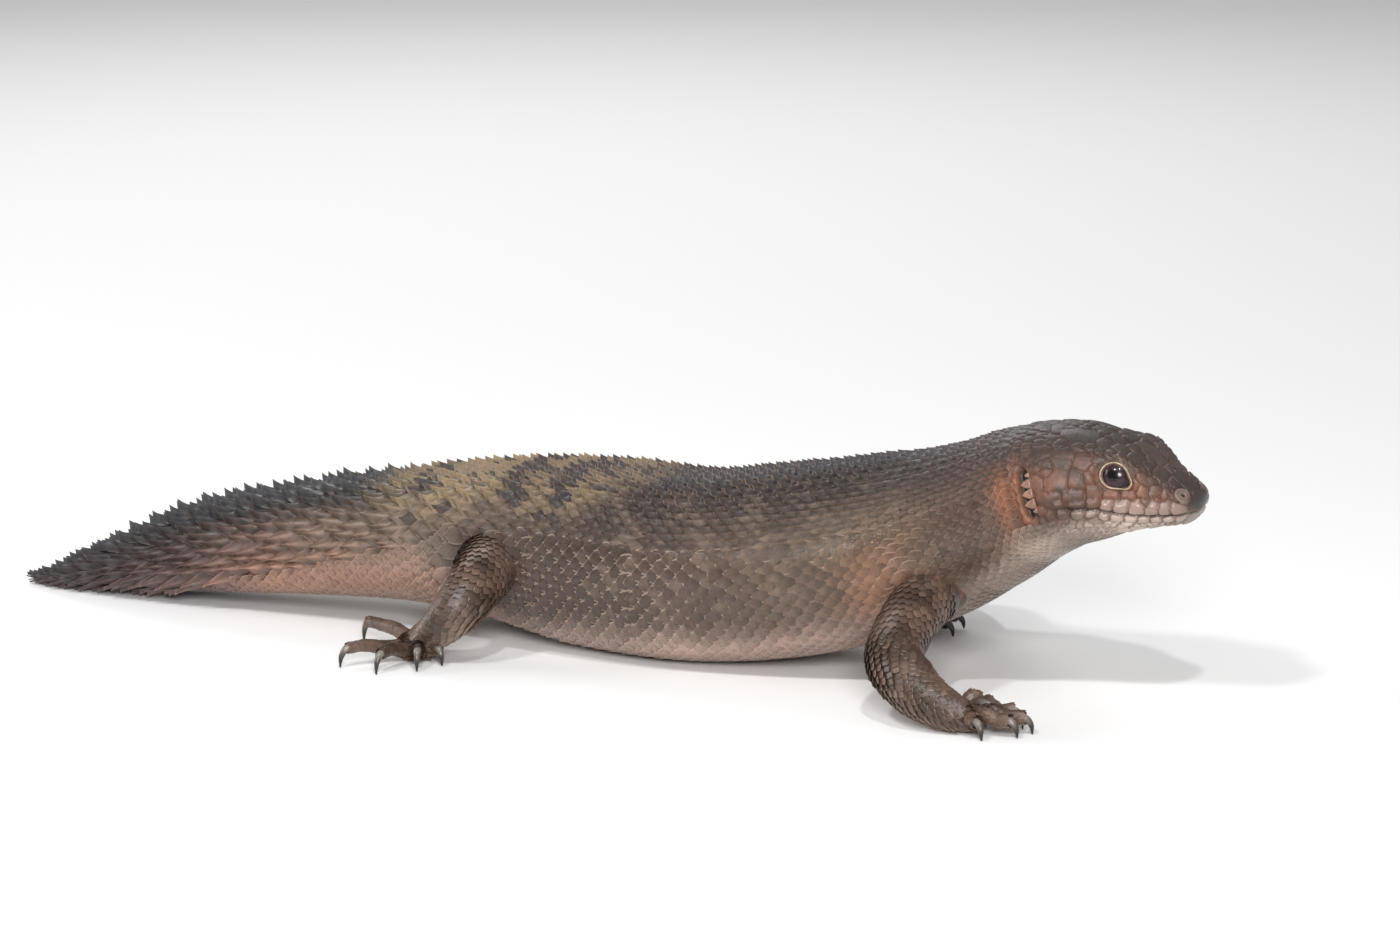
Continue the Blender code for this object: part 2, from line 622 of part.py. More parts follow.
def make_feet():
    """Each foot is its ankle, palm and toes in one, with a claw set before every toe."""
    for (leg, rows), (name, (palm, heading, digits)) in zip(LIMBS.items(), FEET.items()):
        start = ANKLE_SHARE + GAP / 2 / limb_length(rows)
        shares = np.linspace(start, 1.0, ANKLE_RINGS)
        foot = loft(name, limb_rings(rows, shares, LEG_FACETS, LEG_EASE), "limb")
        turn = math.radians(heading)
        axes = ((math.cos(turn), math.sin(turn), 0), (-math.sin(turn), math.cos(turn), 0), (0, 0, 1))
        pieces = [ellipsoid("palm", (*palm, PALM_HEIGHT), axes, PALM_SIZE, "limb", 12, 7)]
        for number, digit in enumerate(digits, 1):
            toe, claw = digit_path(palm, *digit, TOES[name.split("_")[0]])
            shares = np.linspace(0, 1, TOE_RINGS)
            pieces.append(loft("toe", limb_rings(toe, shares, TOE_FACETS), "limb"))
            claw_name = name.replace("foot", "claw") + f"_{number}"
            loft(claw_name, limb_rings(claw, shares, CLAW_FACETS), "claw")
        apply_boolean(foot, "UNION", pieces)


def main():
    for obj in list(bpy.data.objects):
        bpy.data.objects.remove(obj)
    make_head()
    make_eyes()
    make_spine()
    make_legs()
    make_feet()


main()
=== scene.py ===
# %% [markdown]
# # A gidgee skink, life size
#
# This lesson dresses a solid model of a gidgee skink, a stout Australian lizard with a flat,
# spiny tail. The solid model gives the places of everything, and this script gives the looks:
# one skin with the shields of the head raised in it, some ten thousand overlapping scales, the
# eyes with their beaded lids, and the claws.

# %% Load the solid model
import math

import bmesh
import bpy
import numpy as np
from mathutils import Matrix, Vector
from mathutils.bvhtree import BVHTree
from mathutils.kdtree import KDTree


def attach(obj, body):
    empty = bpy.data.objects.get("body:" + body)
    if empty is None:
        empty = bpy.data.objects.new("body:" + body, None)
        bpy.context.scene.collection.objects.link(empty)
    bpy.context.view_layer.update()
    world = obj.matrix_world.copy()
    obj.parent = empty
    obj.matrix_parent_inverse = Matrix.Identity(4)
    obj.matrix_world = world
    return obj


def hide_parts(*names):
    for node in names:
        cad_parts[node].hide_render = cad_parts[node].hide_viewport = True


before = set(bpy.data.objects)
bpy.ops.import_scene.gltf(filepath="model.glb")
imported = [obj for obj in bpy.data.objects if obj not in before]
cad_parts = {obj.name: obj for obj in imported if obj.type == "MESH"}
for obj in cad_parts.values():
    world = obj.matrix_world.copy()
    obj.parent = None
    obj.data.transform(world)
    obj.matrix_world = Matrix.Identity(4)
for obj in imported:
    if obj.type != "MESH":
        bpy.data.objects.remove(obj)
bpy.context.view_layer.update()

# %% [markdown]
# ## The body's plan
#
# The body is a tube along the spine. Each station gives the middle of a cross-section, its
# half width, its height above and below the middle, and how square it is. A smooth curve
# through the stations gives the rest. Drawing the body as rings from a table keeps its
# outline exact from every side, which sculpting by hand would not. Everything is planned in
# millimetres, and turned to metres when a mesh is made.

# %% Stations of the spine
MM = 0.001
# The point of this plan that lies at the frame's origin.
ORIGIN = np.array([-5.24, 2.02, 0.0])
TABLE = np.array((
    # x, y, z, half width, up, down, squareness above, squareness below
    (-141.5, -8.2, 1.4, 0.8, 0.8, 0.8, 2.0, 2.0),
    (-131.0, -7.0, 3.0, 4.0, 2.4, 2.4, 2.2, 2.2),
    (-113.0, -4.8, 6.4, 8.6, 7.0, 4.8, 2.3, 2.3),
    (-92.0, -2.6, 9.8, 12.6, 12.0, 7.2, 2.4, 2.4),
    (-68.0, -0.6, 13.0, 15.6, 14.8, 9.0, 2.5, 2.3),
    (-46.0, 0.4, 16.0, 18.0, 16.0, 11.4, 2.6, 2.2),
    (-24.0, 1.0, 18.6, 22.0, 16.8, 15.4, 2.7, 2.2),
    (-2.0, 1.0, 19.4, 25.5, 17.6, 19.7, 2.6, 2.5),
    (22.0, 0.6, 20.0, 27.0, 17.2, 20.6, 2.3, 2.6),
    (46.0, 0.0, 23.2, 25.0, 18.8, 20.2, 2.1, 2.4),
    (69.0, -0.8, 29.4, 21.0, 17.8, 18.6, 2.1, 2.2),
    (84.0, -1.6, 35.4, 17.6, 16.4, 15.8, 2.1, 2.2),
    (94.0, -2.2, 40.2, 16.2, 15.6, 13.6, 2.2, 2.2),
    (102.0, -2.8, 43.4, 16.0, 13.9, 12.4, 2.3, 2.3),
    (109.0, -3.4, 44.8, 14.4, 12.1, 11.5, 2.4, 2.3),
    (116.0, -4.2, 45.2, 12.0, 9.6, 9.6, 2.5, 2.4),
    (122.0, -5.1, 44.3, 9.8, 6.7, 7.0, 2.4, 2.3),
    (127.0, -5.9, 43.3, 7.6, 4.8, 4.6, 2.3, 2.3),
    (129.6, -6.4, 42.8, 5.4, 3.7, 3.3, 2.2, 2.2),
    (130.8, -6.6, 42.4, 0.8, 0.6, 0.6, 2.0, 2.0),
))
# Swellings and hollows: place along X, angle from the back, reach along X, reach in
# degrees, and height.
SWELLINGS = {
    "brow ridge": (117.0, 46.0, 4.4, 13.0, 1.5),
    "eye hollow": (116.5, 80.0, 3.4, 12.0, -0.8),
    "lore hollow": (124.0, 66.0, 3.0, 12.0, -0.5),
    "jaw muscle": (102.0, 98.0, 6.0, 26.0, 1.3),
    "neck hollow": (91.0, 84.0, 4.0, 24.0, -0.8),
    "nose": (128.4, 66.0, 2.2, 18.0, 0.3),
    "shoulder": (77.0, 105.0, 7.0, 24.0, 1.2),
    "thigh": (-21.0, 88.0, 9.0, 26.0, 1.4),
}
print(len(TABLE), "stations and", len(SWELLINGS), "swellings or hollows")

# %% [markdown]
# ## Curves through the stations
#
# A real back has no corners, so the stations are joined by a curve that passes through each of
# them and bends evenly between. A curve object could do it too, but a short formula
# gives every place, direction and width at once, for whole arrays of questions.

# %% Curves and distances
# Step along a curve, in rows, over which its direction is taken.
CURVE_STEP = 0.02


def through(rows, t):
    """Values of a smooth curve through rows, where t counts rows from 0."""
    t = np.clip(np.asarray(t, float), 0, len(rows) - 1)
    i = np.minimum(t.astype(int), len(rows) - 2)
    u = (t - i)[..., None]
    a, b = rows[np.maximum(i - 1, 0)], rows[i]
    c, d = rows[i + 1], rows[np.minimum(i + 2, len(rows) - 1)]
    cubic = (3 * b - a - 3 * c + d) * u**3 + (2 * a - 5 * b + 4 * c - d) * u**2
    return 0.5 * (cubic + (c - a) * u + 2 * b)


def unit(v):
    return v / np.maximum(np.linalg.norm(v, axis=-1, keepdims=True), 1e-9)


def frame_along(rows, t, reference, step=CURVE_STEP):
    """Middle, side and up directions of a curve through rows at t."""
    forward = unit(through(rows, t + step)[..., :3] - through(rows, t - step)[..., :3])
    side = unit(np.cross(reference, forward))
    return through(rows, t)[..., :3], side, np.cross(forward, side)


def smooth(x, low, high):
    """0 below low, 1 above high, with an even slope between."""
    x = np.clip((x - low) / (high - low), 0, 1)
    return x * x * (3 - 2 * x)


def bell(x, middle, reach):
    """1 at a middle, and falling to nothing on both sides of it."""
    return np.exp(-(((x - middle) / reach) ** 2))


def path_length(points):
    """Length of a path from its first point to each of its points."""
    steps = np.linalg.norm(np.diff(points, axis=0), axis=1)
    return np.concatenate([[0], np.cumsum(steps)])


FINE = np.linspace(0, len(TABLE) - 1, 2001)
ARC = path_length(through(TABLE, FINE)[:, :3])
LENGTH = ARC[-1]
print("from snout to tail tip along the spine:", round(float(LENGTH), 1), "mm")

# %% [markdown]
# ## The surface as a function
#
# Every later step asks the same question: where is the skin at this distance behind the
# snout and this angle from the back, and which way does it face? One function answers it for
# whole arrays at once. Angles run from 0 on the back to 180 under the belly, positive on the
# animal's left. The mouth line is a function too, since the lips and their scales follow it.

# %% The surface of the body
MOUTH_BACK = 104.5
MOUTH_LINE = (105.0, 113.0, 117.0, 122.0, 131.0), (42.4, 42.5, 41.7, 41.5, 42.0)
LIP_HEIGHT, LIP_REACH, LIP_SPREAD, LIP_START = 0.4, 1.5, 0.9, 6.0
UPRIGHT = np.array([0.0, 0.0, 1.0])
# A floor so low that it flattens nothing.
BELOW = -99.0


def behind_snout(distance):
    """Station number of the place this far behind the snout tip along the spine."""
    return np.interp(LENGTH - np.asarray(distance, float), ARC, FINE)


def distance_at(x):
    """How far behind the snout the spine passes this x."""
    return LENGTH - np.interp(x, through(TABLE, FINE)[:, 0], ARC)


def x_at(distance):
    """The spine's x this far behind the snout."""
    return float(np.interp(LENGTH - distance, ARC, through(TABLE, FINE)[:, 0]))


def mouth_height(x):
    return np.interp(x, *MOUTH_LINE)


def swelling(x, degrees):
    """Height of all the body's swellings and hollows at a place."""
    rise = np.zeros(x.shape)
    for at_x, at_angle, reach_x, reach_angle, size in SWELLINGS.values():
        beyond = (np.abs(degrees) - at_angle) / reach_angle
        rise = rise + size * np.exp(-(((x - at_x) / reach_x) ** 2) - beyond**2)
    return rise


def body_at(distance, degrees, lift=0.0, floor=0.0):
    """Points of the skin this far behind the snout at angles from the back."""
    places = np.asarray(distance, float), np.asarray(degrees, float)
    distance, degrees = np.broadcast_arrays(*places)
    t = behind_snout(distance)
    middle, side, up = frame_along(TABLE, t, UPRIGHT)
    row = through(TABLE, t)
    s, c = np.sin(np.radians(degrees)), np.cos(np.radians(degrees))
    height = np.where(c > 0, row[..., 4], row[..., 5])
    power = np.where(c > 0, row[..., 6], row[..., 7])
    across = np.sign(s) * np.abs(s) ** (2 / power)
    above = np.sign(c) * np.abs(c) ** (2 / power)
    point = middle + side * (row[..., 3] * across)[..., None]
    point = point + up * (height * above)[..., None]
    out_side = np.sign(across) * np.abs(across) ** (power - 1) / row[..., 3]
    out_up = np.sign(above) * np.abs(above) ** (power - 1) / height
    out = unit(side * out_side[..., None] + up * out_up[..., None])
    x = point[..., 0]
    off_mouth = (np.abs(point[..., 2] - mouth_height(x)) - LIP_SPREAD) / LIP_REACH
    lips = np.clip((x - MOUTH_BACK) / LIP_START, 0, 1) * LIP_HEIGHT
    rise = swelling(x, np.degrees(np.arctan2(s, c))) + lips * np.exp(-(off_mouth**2))
    point = point + out * (rise + lift)[..., None]
    point[..., 2] = np.maximum(point[..., 2], floor)
    return point


def facing(surface, u, degrees):
    """Direction straight out of a surface at u and degrees, also where it rests on the floor."""
    return unit(surface(u, degrees, 0.5, BELOW) - surface(u, degrees, 0.0, BELOW))


def to_metres(points):
    return (np.asarray(points, float) - ORIGIN) * MM


# %% [markdown]
# ## Camera, light and floor
#
# The camera looks from the animal's right, a little ahead of the shoulder and from above,
# as the photograph does. Its place and lens were found by laying the solid model's outline
# over the photograph. A large soft light above and in front stands for the studio's. A small
# one beside it puts the bright point in the eye, and another the glints on the shoulder.

# %% Set up the studio
VIEW_SIDE, VIEW_UP, VIEW_FAR = 25.0, 14.5, 1100.0
SENSOR, PICTURE_WIDTH, PIXELS_PER_MM = 36.0, 1400, 4.67
LOOK_RIGHT, LOOK_UP = 16.5, 37.3
LIGHTS = {
    # side and height of its direction in degrees, size in metres, power in watts
    "soft key": (28, 24, 0.3, 7.0),
    "small flash": (32, 55, 0.05, 2.5),
    "shoulder flash": (-8, 52, 0.1, 2.6),
    "tail side fill": (-75, 20, 0.5, 3.5),
    "far side fill": (-150, 40, 0.7, 3.0),
}


def studio_direction(side, up):
    """Direction from the floor's middle at an angle from -Y towards +X, and above it."""
    side, up = math.radians(side), math.radians(up)
    flat = math.cos(up)
    return np.array([math.sin(side) * flat, -math.cos(side) * flat, math.sin(up)])


def aim(name, data, place, target):
    """A light or camera at a place, turned to a target."""
    obj = bpy.data.objects.new(name, data)
    obj.location = Vector(place)
    obj.rotation_euler = (Vector(target) - Vector(place)).to_track_quat("-Z", "Y").to_euler()
    bpy.context.scene.collection.objects.link(obj)
    return obj


lens = bpy.data.cameras.new("camera")
lens.sensor_width = SENSOR
lens.lens = SENSOR * VIEW_FAR * PIXELS_PER_MM / PICTURE_WIDTH
away = studio_direction(VIEW_SIDE, VIEW_UP)
right = np.array([math.cos(math.radians(VIEW_SIDE)), math.sin(math.radians(VIEW_SIDE)), 0.0])
target = LOOK_RIGHT * right + LOOK_UP * np.cross(away, right)
scene = bpy.context.scene
scene.camera = aim("camera", lens, to_metres(away * VIEW_FAR), to_metres(target))
scene.view_settings.view_transform = "Standard"

for name, (side, up, size, power) in LIGHTS.items():
    light = bpy.data.lights.new(name, "AREA")
    light.shape = "DISK"
    light.size = size
    light.energy = power
    aim(name, light, studio_direction(side, up), (0.0, 0.0, 0.02))

world = bpy.data.worlds.new("studio white")
world.use_nodes = True
sky = world.node_tree.nodes["Background"].inputs
sky["Color"].default_value = (1, 1, 1, 1)
sky["Strength"].default_value = 0.33
scene.world = world

bpy.ops.mesh.primitive_plane_add(size=12)
floor = bpy.context.object
floor.name = "floor"
floor_finish = bpy.data.materials.new("pale floor")
floor_finish.use_nodes = True
floor_shader = floor_finish.node_tree.nodes["Principled BSDF"]
floor_shader.inputs["Base Color"].default_value = (0.86, 0.86, 0.86, 1)
floor_shader.inputs["Roughness"].default_value = 0.9
floor.data.materials.append(floor_finish)

# %% [markdown]
# ## Writing shader maths
#
# A material is a graph of nodes. Drawing the graph by hand is slow, so one small class wraps
# a node's output and lets Python's own operators join nodes: `1 - mask` adds a Math node.
# Colours go through Mix nodes, because a Math node would turn them grey.

# %% A class that wraps a socket


class Wire:
    """One output of a shader node, which operators and methods join to further nodes."""

    def __init__(self, tree, socket=None):
        self.tree = tree
        self.socket = socket

    def give(self, value, socket):
        """Links a wire to a socket, or sets the socket's own value."""
        if isinstance(value, Wire):
            self.tree.links.new(value.socket, socket)
        else:
            socket.default_value = value

    def add(self, kind, settings=None, inputs=None, out=0):
        """Any shader node: its type, its settings and the values or links of its sockets."""
        made = self.tree.nodes.new("ShaderNode" + kind)
        for key, value in (settings or {}).items():
            if key == "stops":
                elements = made.color_ramp.elements
                while len(elements) < len(value):
                    elements.new(1.0)
                for element, (place, colour) in zip(elements, value):
                    element.position = place
                    element.color = paint(colour)
            else:
                setattr(made, key, value)
        for key, value in (inputs or {}).items():
            self.give(value, made.inputs[key])
        return Wire(self.tree, made.outputs[out])

    def maths(self, operation, first, second=0.0):
        return self.add("Math", {"operation": operation}, {0: first, 1: second})

    def __add__(self, other):
        return self.maths("ADD", self, other)

    def __radd__(self, other):
        return self.maths("ADD", other, self)

    def __sub__(self, other):
        return self.maths("SUBTRACT", self, other)

    def __rsub__(self, other):
        return self.maths("SUBTRACT", other, self)

    def __mul__(self, other):
        return self.maths("MULTIPLY", self, other)

    def __rmul__(self, other):
        return self.maths("MULTIPLY", other, self)

    def __truediv__(self, other):
        return self.maths("DIVIDE", self, other)

    def __rtruediv__(self, other):
        return self.maths("DIVIDE", other, self)

    def between(self, low, high):
        """0 below low, 1 above high and an even slope between; low may be above high."""
        ends = {"From Min": low, "From Max": high, "To Min": 0.0, "To Max": 1.0}
        settings = {"interpolation_type": "SMOOTHSTEP"}
        return self.add("MapRange", settings, {"Value": self, **ends})

    def near(self, place, reach):
        """1 at a place and 0 beyond its reach."""
        return self.maths("ABSOLUTE", self - place).between(reach, 0.0)

    def mix(self, start, end):
        """A colour between start and end by this value."""
        start, end = paint(start), paint(end)
        return self.add("Mix", {"data_type": "RGBA"}, {0: self, 6: start, 7: end}, out=2)

    def times(self, factor):
        """This colour made darker or brighter by a factor."""
        return self.add("VectorMath", {"operation": "SCALE"}, {0: self, "Scale": factor})

    def stretch(self, x, y, z):
        """This vector with its axes scaled."""
        return self.add("VectorMath", {"operation": "MULTIPLY"}, {0: self, 1: (x, y, z)})

    def axis(self, index):
        """One number of this vector."""
        return self.add("SeparateXYZ", None, {0: self}, out=index)

    def noise(self, scale, detail=3.0, roughness=0.55):
        """Cloudy values around 0.5 at this vector."""
        inputs = {"Vector": self, "Scale": scale, "Detail": detail, "Roughness": roughness}
        return self.add("TexNoise", None, inputs)

    def place(self):
        """Where on the object a point lies, in its own coordinates."""
        return self.add("TexCoord", out=3)

    def number(self, name):
        return self.add("Attribute", {"attribute_name": name}, out=2)

    def vector(self, name):
        return self.add("Attribute", {"attribute_name": name}, out=1)

    def ramp(self, stops):
        """Colour by this value, through stops given as a place and a hex code."""
        return self.add("ValToRGB", {"stops": stops}, {0: self})


# %% [markdown]
# ## Colours and new materials
#
# A colour is written here as a hex code, the way a screen shows it, but a shader wants linear
# light, so one function converts it. Two more start a material and feed its Principled shader,
# which every finish of the skink ends in.

# %% Start and finish a material


def paint(colour):
    """A linear colour from a hex code as a screen shows it; a wire stays as it is."""
    if isinstance(colour, Wire):
        return colour
    parts = [int(colour[i : i + 2], 16) / 255 for i in (1, 3, 5)]
    linear = [p / 12.92 if p <= 0.04045 else ((p + 0.055) / 1.055) ** 2.4 for p in parts]
    return (*linear, 1.0)


def new_material(name):
    """A material and a pen that draws its nodes."""
    made = bpy.data.materials.new(name)
    made.use_nodes = True
    return made, Wire(made.node_tree)


def connect(pen, links):
    """Gives values or wires to the material's Principled shader."""
    shader = pen.tree.nodes["Principled BSDF"]
    for name, value in links.items():
        pen.give(value, shader.inputs[name])


# %% [markdown]
# ## The markings of the hide
#
# The skink is dark brown above with broken rows of pale scales, warm tan along the flanks and
# pale below. Its rump is straw-coloured with dark bars, its tail charcoal with a reddish side,
# and orange skin shows behind the ear and in the armpit. Skin and scales have to agree, so one
# function draws the markings for both. It reads values stored on the meshes: how far behind
# the snout a place is, how far down the side, and the root of the scale it belongs to, so that
# a whole scale is pale or dark as on the animal.

# %% Draw the markings
BACK_COLOURS = (
    (0.0, "#403634"), (0.03, "#4c403a"), (0.08, "#37312e"), (0.14, "#423836"), (0.25, "#322a27"),
    (0.36, "#322926"), (0.46, "#362d29"), (0.53, "#5d4f41"), (0.58, "#706050"), (0.64, "#685b49"),
    (0.675, "#312e2d"), (0.82, "#2e2c2d"), (1.0, "#302d2e"),
)
SIDE_COLOURS = (
    (0.0, "#4d413e"), (0.03, "#6e5447"), (0.08, "#443229"), (0.155, "#5a453b"), (0.24, "#6a5848"),
    (0.36, "#4f3f36"), (0.47, "#3e312b"), (0.54, "#4d403a"), (0.62, "#6b5c51"), (0.70, "#776355"),
    (0.76, "#6d564d"), (0.85, "#4a403f"), (1.0, "#342f2f"),
)
# The throat's stop at 0.04 is its own pale tan, painted paler still as painted light from the
# white floor under the chin.
BELLY_COLOURS = (
    (0.0, "#8f7f77"), (0.04, "#c0ac9e"), (0.14, "#a08c7c"), (0.25, "#9b7f71"), (0.38, "#a88e7f"),
    (0.50, "#977f73"), (0.60, "#9a7c6c"), (0.68, "#8c6a58"), (0.76, "#94705e"), (0.82, "#66504a"),
    (0.90, "#4c3f3e"), (1.0, "#443a3a"),
)
STRAW, DARK, PALE, BLUE_GREY, ORANGE = "#8a7559", "#3a3331", "#94806f", "#3f4146", "#9c5f3d"
# Dark bars over the rump: how far behind the snout, reach along the body, and strength.
BARS = ((151.0, 5.0, 1.0), (139.0, 4.5, 1.0), (173.0, 4.0, 0.7))
ROW_LENGTH = 15.0


def body_markings(pen):
    """Colour of the head, body and tail."""
    root, along, under = pen.vector("root"), pen.number("along"), pen.number("under")
    wander, grain = root.noise(45.0), root.noise(1900.0, 0.0)
    share = along / float(LENGTH)
    back, side = share.ramp(BACK_COLOURS), share.ramp(SIDE_COLOURS)
    # The straw-coloured rump begins along a slanting line from the back to the thigh.
    rump = (along - under * 44.0).between(116.0, 124.0) * share.between(0.665, 0.63)
    back = (rump * 0.55).mix(back, STRAW)
    low = under + (wander - 0.5) * 0.22
    colour = low.between(0.16, 0.42).mix(back, side)
    belly = low + along.between(148.0, 176.0) * 0.2 + along.between(45.0, 15.0) * 0.1
    colour = belly.between(0.60, 0.78).mix(colour, share.ramp(BELLY_COLOURS))
    # Pale flecks over the trunk, in broken slanting rows.
    slant = (along + under * 26.0) * (2 * math.pi / ROW_LENGTH)
    wave = pen.maths("SINE", slant + wander * 9.0)
    flecks = (grain * 0.4 + pen.place().noise(420.0, 2.0) * 0.6 + wave * 0.06).between(0.48, 0.66)
    flecks = flecks * share.between(0.16, 0.25) * share.between(0.50, 0.44)
    flecks = flecks * under.between(0.78, 0.5) * under.between(0.06, 0.26)
    colour = (flecks * 0.22).mix(colour, PALE)
    # A blue-grey crest along the midline.
    crest = under.between(0.14, 0.02) * share.between(0.12, 0.2)
    colour = (crest * (0.55 - rump * 0.35)).mix(colour, BLUE_GREY)
    # Dark bars over the rump, and scattered dark scales among the straw-coloured ones.
    bars = sum(along.near(place, reach) * strength for place, reach, strength in BARS)
    bars = (bars * 1.8 * (wander + grain).between(0.7, 0.95)) * under.between(0.34, 0.14)
    scattered = grain.between(0.54, 0.66) * rump * under.between(0.48, 0.3) * 0.8
    colour = (bars + scattered).between(0.0, 1.0).mix(colour, DARK)
    # Orange skin behind the ear and in the armpit.
    ear = along.near(34.5, 5.0) * under.near(0.45, 0.22)
    armpit = along.near(66.0, 15.0) * under.near(0.60, 0.24)
    return (ear * 0.45 + armpit * 0.35).mix(colour, ORANGE)


def limb_markings(pen):
    """Colour of the legs and feet, dark brown with reddish and pale specks, paler below."""
    root = pen.vector("root")
    colour = root.noise(160.0).between(0.38, 0.62).mix("#41322a", "#634e42")
    colour = (root.noise(700.0, 2.0).between(0.55, 0.75) * 0.5).mix(colour, "#8a7364")
    return (pen.number("under").between(0.6, 0.9) * 0.6).mix(colour, "#97806f")


def markings(pen):
    return pen.number("limb").mix(body_markings(pen), limb_markings(pen))


# %% [markdown]
# ## Limbs
#
# Each leg is a tube along its bones, each palm a short fat tube along the foot, and each toe
# a thin one. They are the same places as in the solid model. One function gives a tube's
# surface, as the body's function does, so that scales can be laid on either.

# %% Bones of the legs and toes
LEGS = {
    "front_right": (
        (78.0, -9.0, 22.6, 6.6, 6.4), (76.6, -21.0, 20.4, 6.1, 6.0), (76.4, -34.5, 14.0, 5.9, 5.9),
        (81.2, -39.2, 9.2, 5.6, 5.4), (86.8, -40.2, 5.8, 4.7, 4.3), (91.0, -39.5, 4.0, 4.2, 3.4),
    ),
    "front_left": (
        (77.0, 9.0, 22.6, 6.6, 6.4), (74.0, 21.0, 21.0, 6.1, 6.0), (64.0, 36.0, 18.6, 5.9, 5.9),
        (53.5, 39.4, 14.2, 5.6, 5.4), (47.0, 38.2, 8.2, 4.7, 4.3), (45.6, 36.6, 4.6, 4.2, 3.4),
    ),
    "hind_right": (
        (-21.5, -8.0, 18.0, 8.4, 8.2), (-21.2, -19.5, 19.2, 7.2, 7.0),
        (-19.6, -29.0, 18.0, 6.0, 5.9), (-22.4, -33.4, 12.4, 4.9, 4.8),
        (-27.8, -32.4, 7.2, 3.9, 3.7), (-32.0, -32.0, 3.9, 4.0, 3.2),
    ),
    "hind_left": (
        (-21.0, 9.0, 18.0, 8.4, 8.2), (-19.0, 21.0, 19.0, 7.4, 7.2), (-9.0, 34.0, 18.8, 6.6, 6.6),
        (-7.6, 38.4, 12.6, 5.2, 5.1), (-3.6, 38.6, 7.2, 3.8, 3.6), (0.6, 37.8, 3.9, 4.0, 3.2),
    ),
}
# Middle of each palm, the way the foot points, and each digit's direction, reach and lift.
FEET = {
    "front_right": (
        (91.6, -38.6), 10.0,
        ((62.0, 10.4, 1.8), (28.0, 13.2, 1.0), (12.0, 15.2, 0), (-4.0, 13.2, 0), (-38.0, 9.4, 0)),
    ),
    "front_left": (
        (46.8, 35.8), 0.0,
        ((-74.0, 9.5, 0), (-44.0, 13.2, 0), (-17.0, 17.6, -0.8), (8.0, 16.6, -0.8),
         (50.0, 9.8, 0)),
    ),
    "hind_right": (
        (-32.5, -31.5), -98.0,
        ((-32.0, 8.6, -1.2), (-67.0, 11.8, 0), (-97.0, 16.6, 0), (-128.0, 18.6, 0),
         (-202.0, 18.6, 1.4)),
    ),
    "hind_left": (
        (3.4, 37.2), 28.0,
        ((-50.0, 9.4, 0), (-4.0, 12.6, 0), (26.0, 17.0, 0), (52.0, 18.4, 0), (108.0, 15.6, 0)),
    ),
}
PALM_SIZE = (4.8, 4.4, 3.2)
PALM_HEIGHT = 3.0
# Half thickness of the toes at root and tip, height of their knuckles and of their tips.
TOES = {"front": (2.0, 1.55, 4.2, 3.4), "hind": (1.8, 1.2, 3.3, 4.2)}
# Share along a claw, and there its height and thickness as shares of the root's.
CLAW_BENDS = ((0.5, 0.94, 0.8), (0.9, 0.55, 0.5), (1.0, 0.0, 0.0))
CLAW_REACH, CLAW_SHARE = 2.9, 0.3
CLAW_ROOT_RADIUS, CLAW_TIP_RADIUS = 0.95, 0.16
GAP = 0.3
LEG_EASE = 0.8
NEARLY_UPRIGHT = np.array([0.05, 0.05, 1.0])
print("digits of the feet:", {limb: len(foot[2]) for limb, foot in FEET.items()})

# %% [markdown]
# ## Tubes along the bones
#
# A leg could be sculpted, but a tube through its bones follows the pose exactly and can be
# asked for a point at any share of its length and any angle round it, which the scales of the
# legs need. A claw goes on a short gap beyond its toe, and bends down to the floor.

# %% Surfaces of the limbs


def tube_at(rows, ease=CURVE_STEP):
    """The surface of a tube through rows, as a function of share along it and angle."""
    rows = np.array(rows, float)

    def surface(share, degrees, lift=0.0, floor=0.0):
        places = np.asarray(share, float), np.asarray(degrees, float)
        share, degrees = np.broadcast_arrays(*places)
        t = share * (len(rows) - 1)
        middle, side, up = frame_along(rows, t, NEARLY_UPRIGHT, ease)
        size = through(rows, t)
        s, c = np.sin(np.radians(degrees)), np.cos(np.radians(degrees))
        half, thick = size[..., 3] + lift, size[..., 4] + lift
        point = middle + side * (s * half)[..., None] + up * (c * thick)[..., None]
        point[..., 2] = np.maximum(point[..., 2], floor)
        return point

    return surface


def level_way(degrees):
    """Level direction at an angle from +X towards +Y."""
    return np.array([math.cos(math.radians(degrees)), math.sin(math.radians(degrees)), 0.0])


def digit_rows(palm, degrees, reach, lift, shape):
    """A toe from inside the palm to its rounded tip, and the claw beyond it."""
    root_radius, tip_radius, knuckle, tip_height = shape
    way, palm = level_way(degrees), np.array([*palm, 0.0])
    claw_reach = min(CLAW_REACH, CLAW_SHARE * reach)
    toe_reach = reach - claw_reach
    knuckle += lift
    tip_height += lift / 2
    toe = []
    bends = ((0.12, PALM_HEIGHT), (0.5, knuckle), (0.8, tip_height), (1.0, tip_height))
    for share, height in bends:
        radius = root_radius + (tip_radius - root_radius) * share
        toe.append((*(palm + way * toe_reach * share + (0, 0, height)), radius, radius))
    end = np.array(toe[-1][:3])
    slope = unit(end - np.array(toe[-2][:3]))
    root = end + slope * GAP
    claw = [(*root, CLAW_ROOT_RADIUS, CLAW_ROOT_RADIUS)]
    for share, height, radius in CLAW_BENDS:
        point = root + way * (claw_reach - GAP) * share
        point[2] = CLAW_TIP_RADIUS + (root[2] - CLAW_TIP_RADIUS) * height
        size = CLAW_TIP_RADIUS + (CLAW_ROOT_RADIUS - CLAW_TIP_RADIUS) * radius
        claw.append((*point, size, size))
    return toe, claw


def palm_rows(palm, heading):
    """A palm as a short tube, round at both ends."""
    way, middle = level_way(heading), np.array([*palm, PALM_HEIGHT])
    rows = []
    for angle in np.radians(np.linspace(-86, 86, 9)):
        wide = math.cos(angle)
        place = middle + way * PALM_SIZE[0] * math.sin(angle)
        rows.append((*place, PALM_SIZE[1] * wide, PALM_SIZE[2] * wide))
    return rows


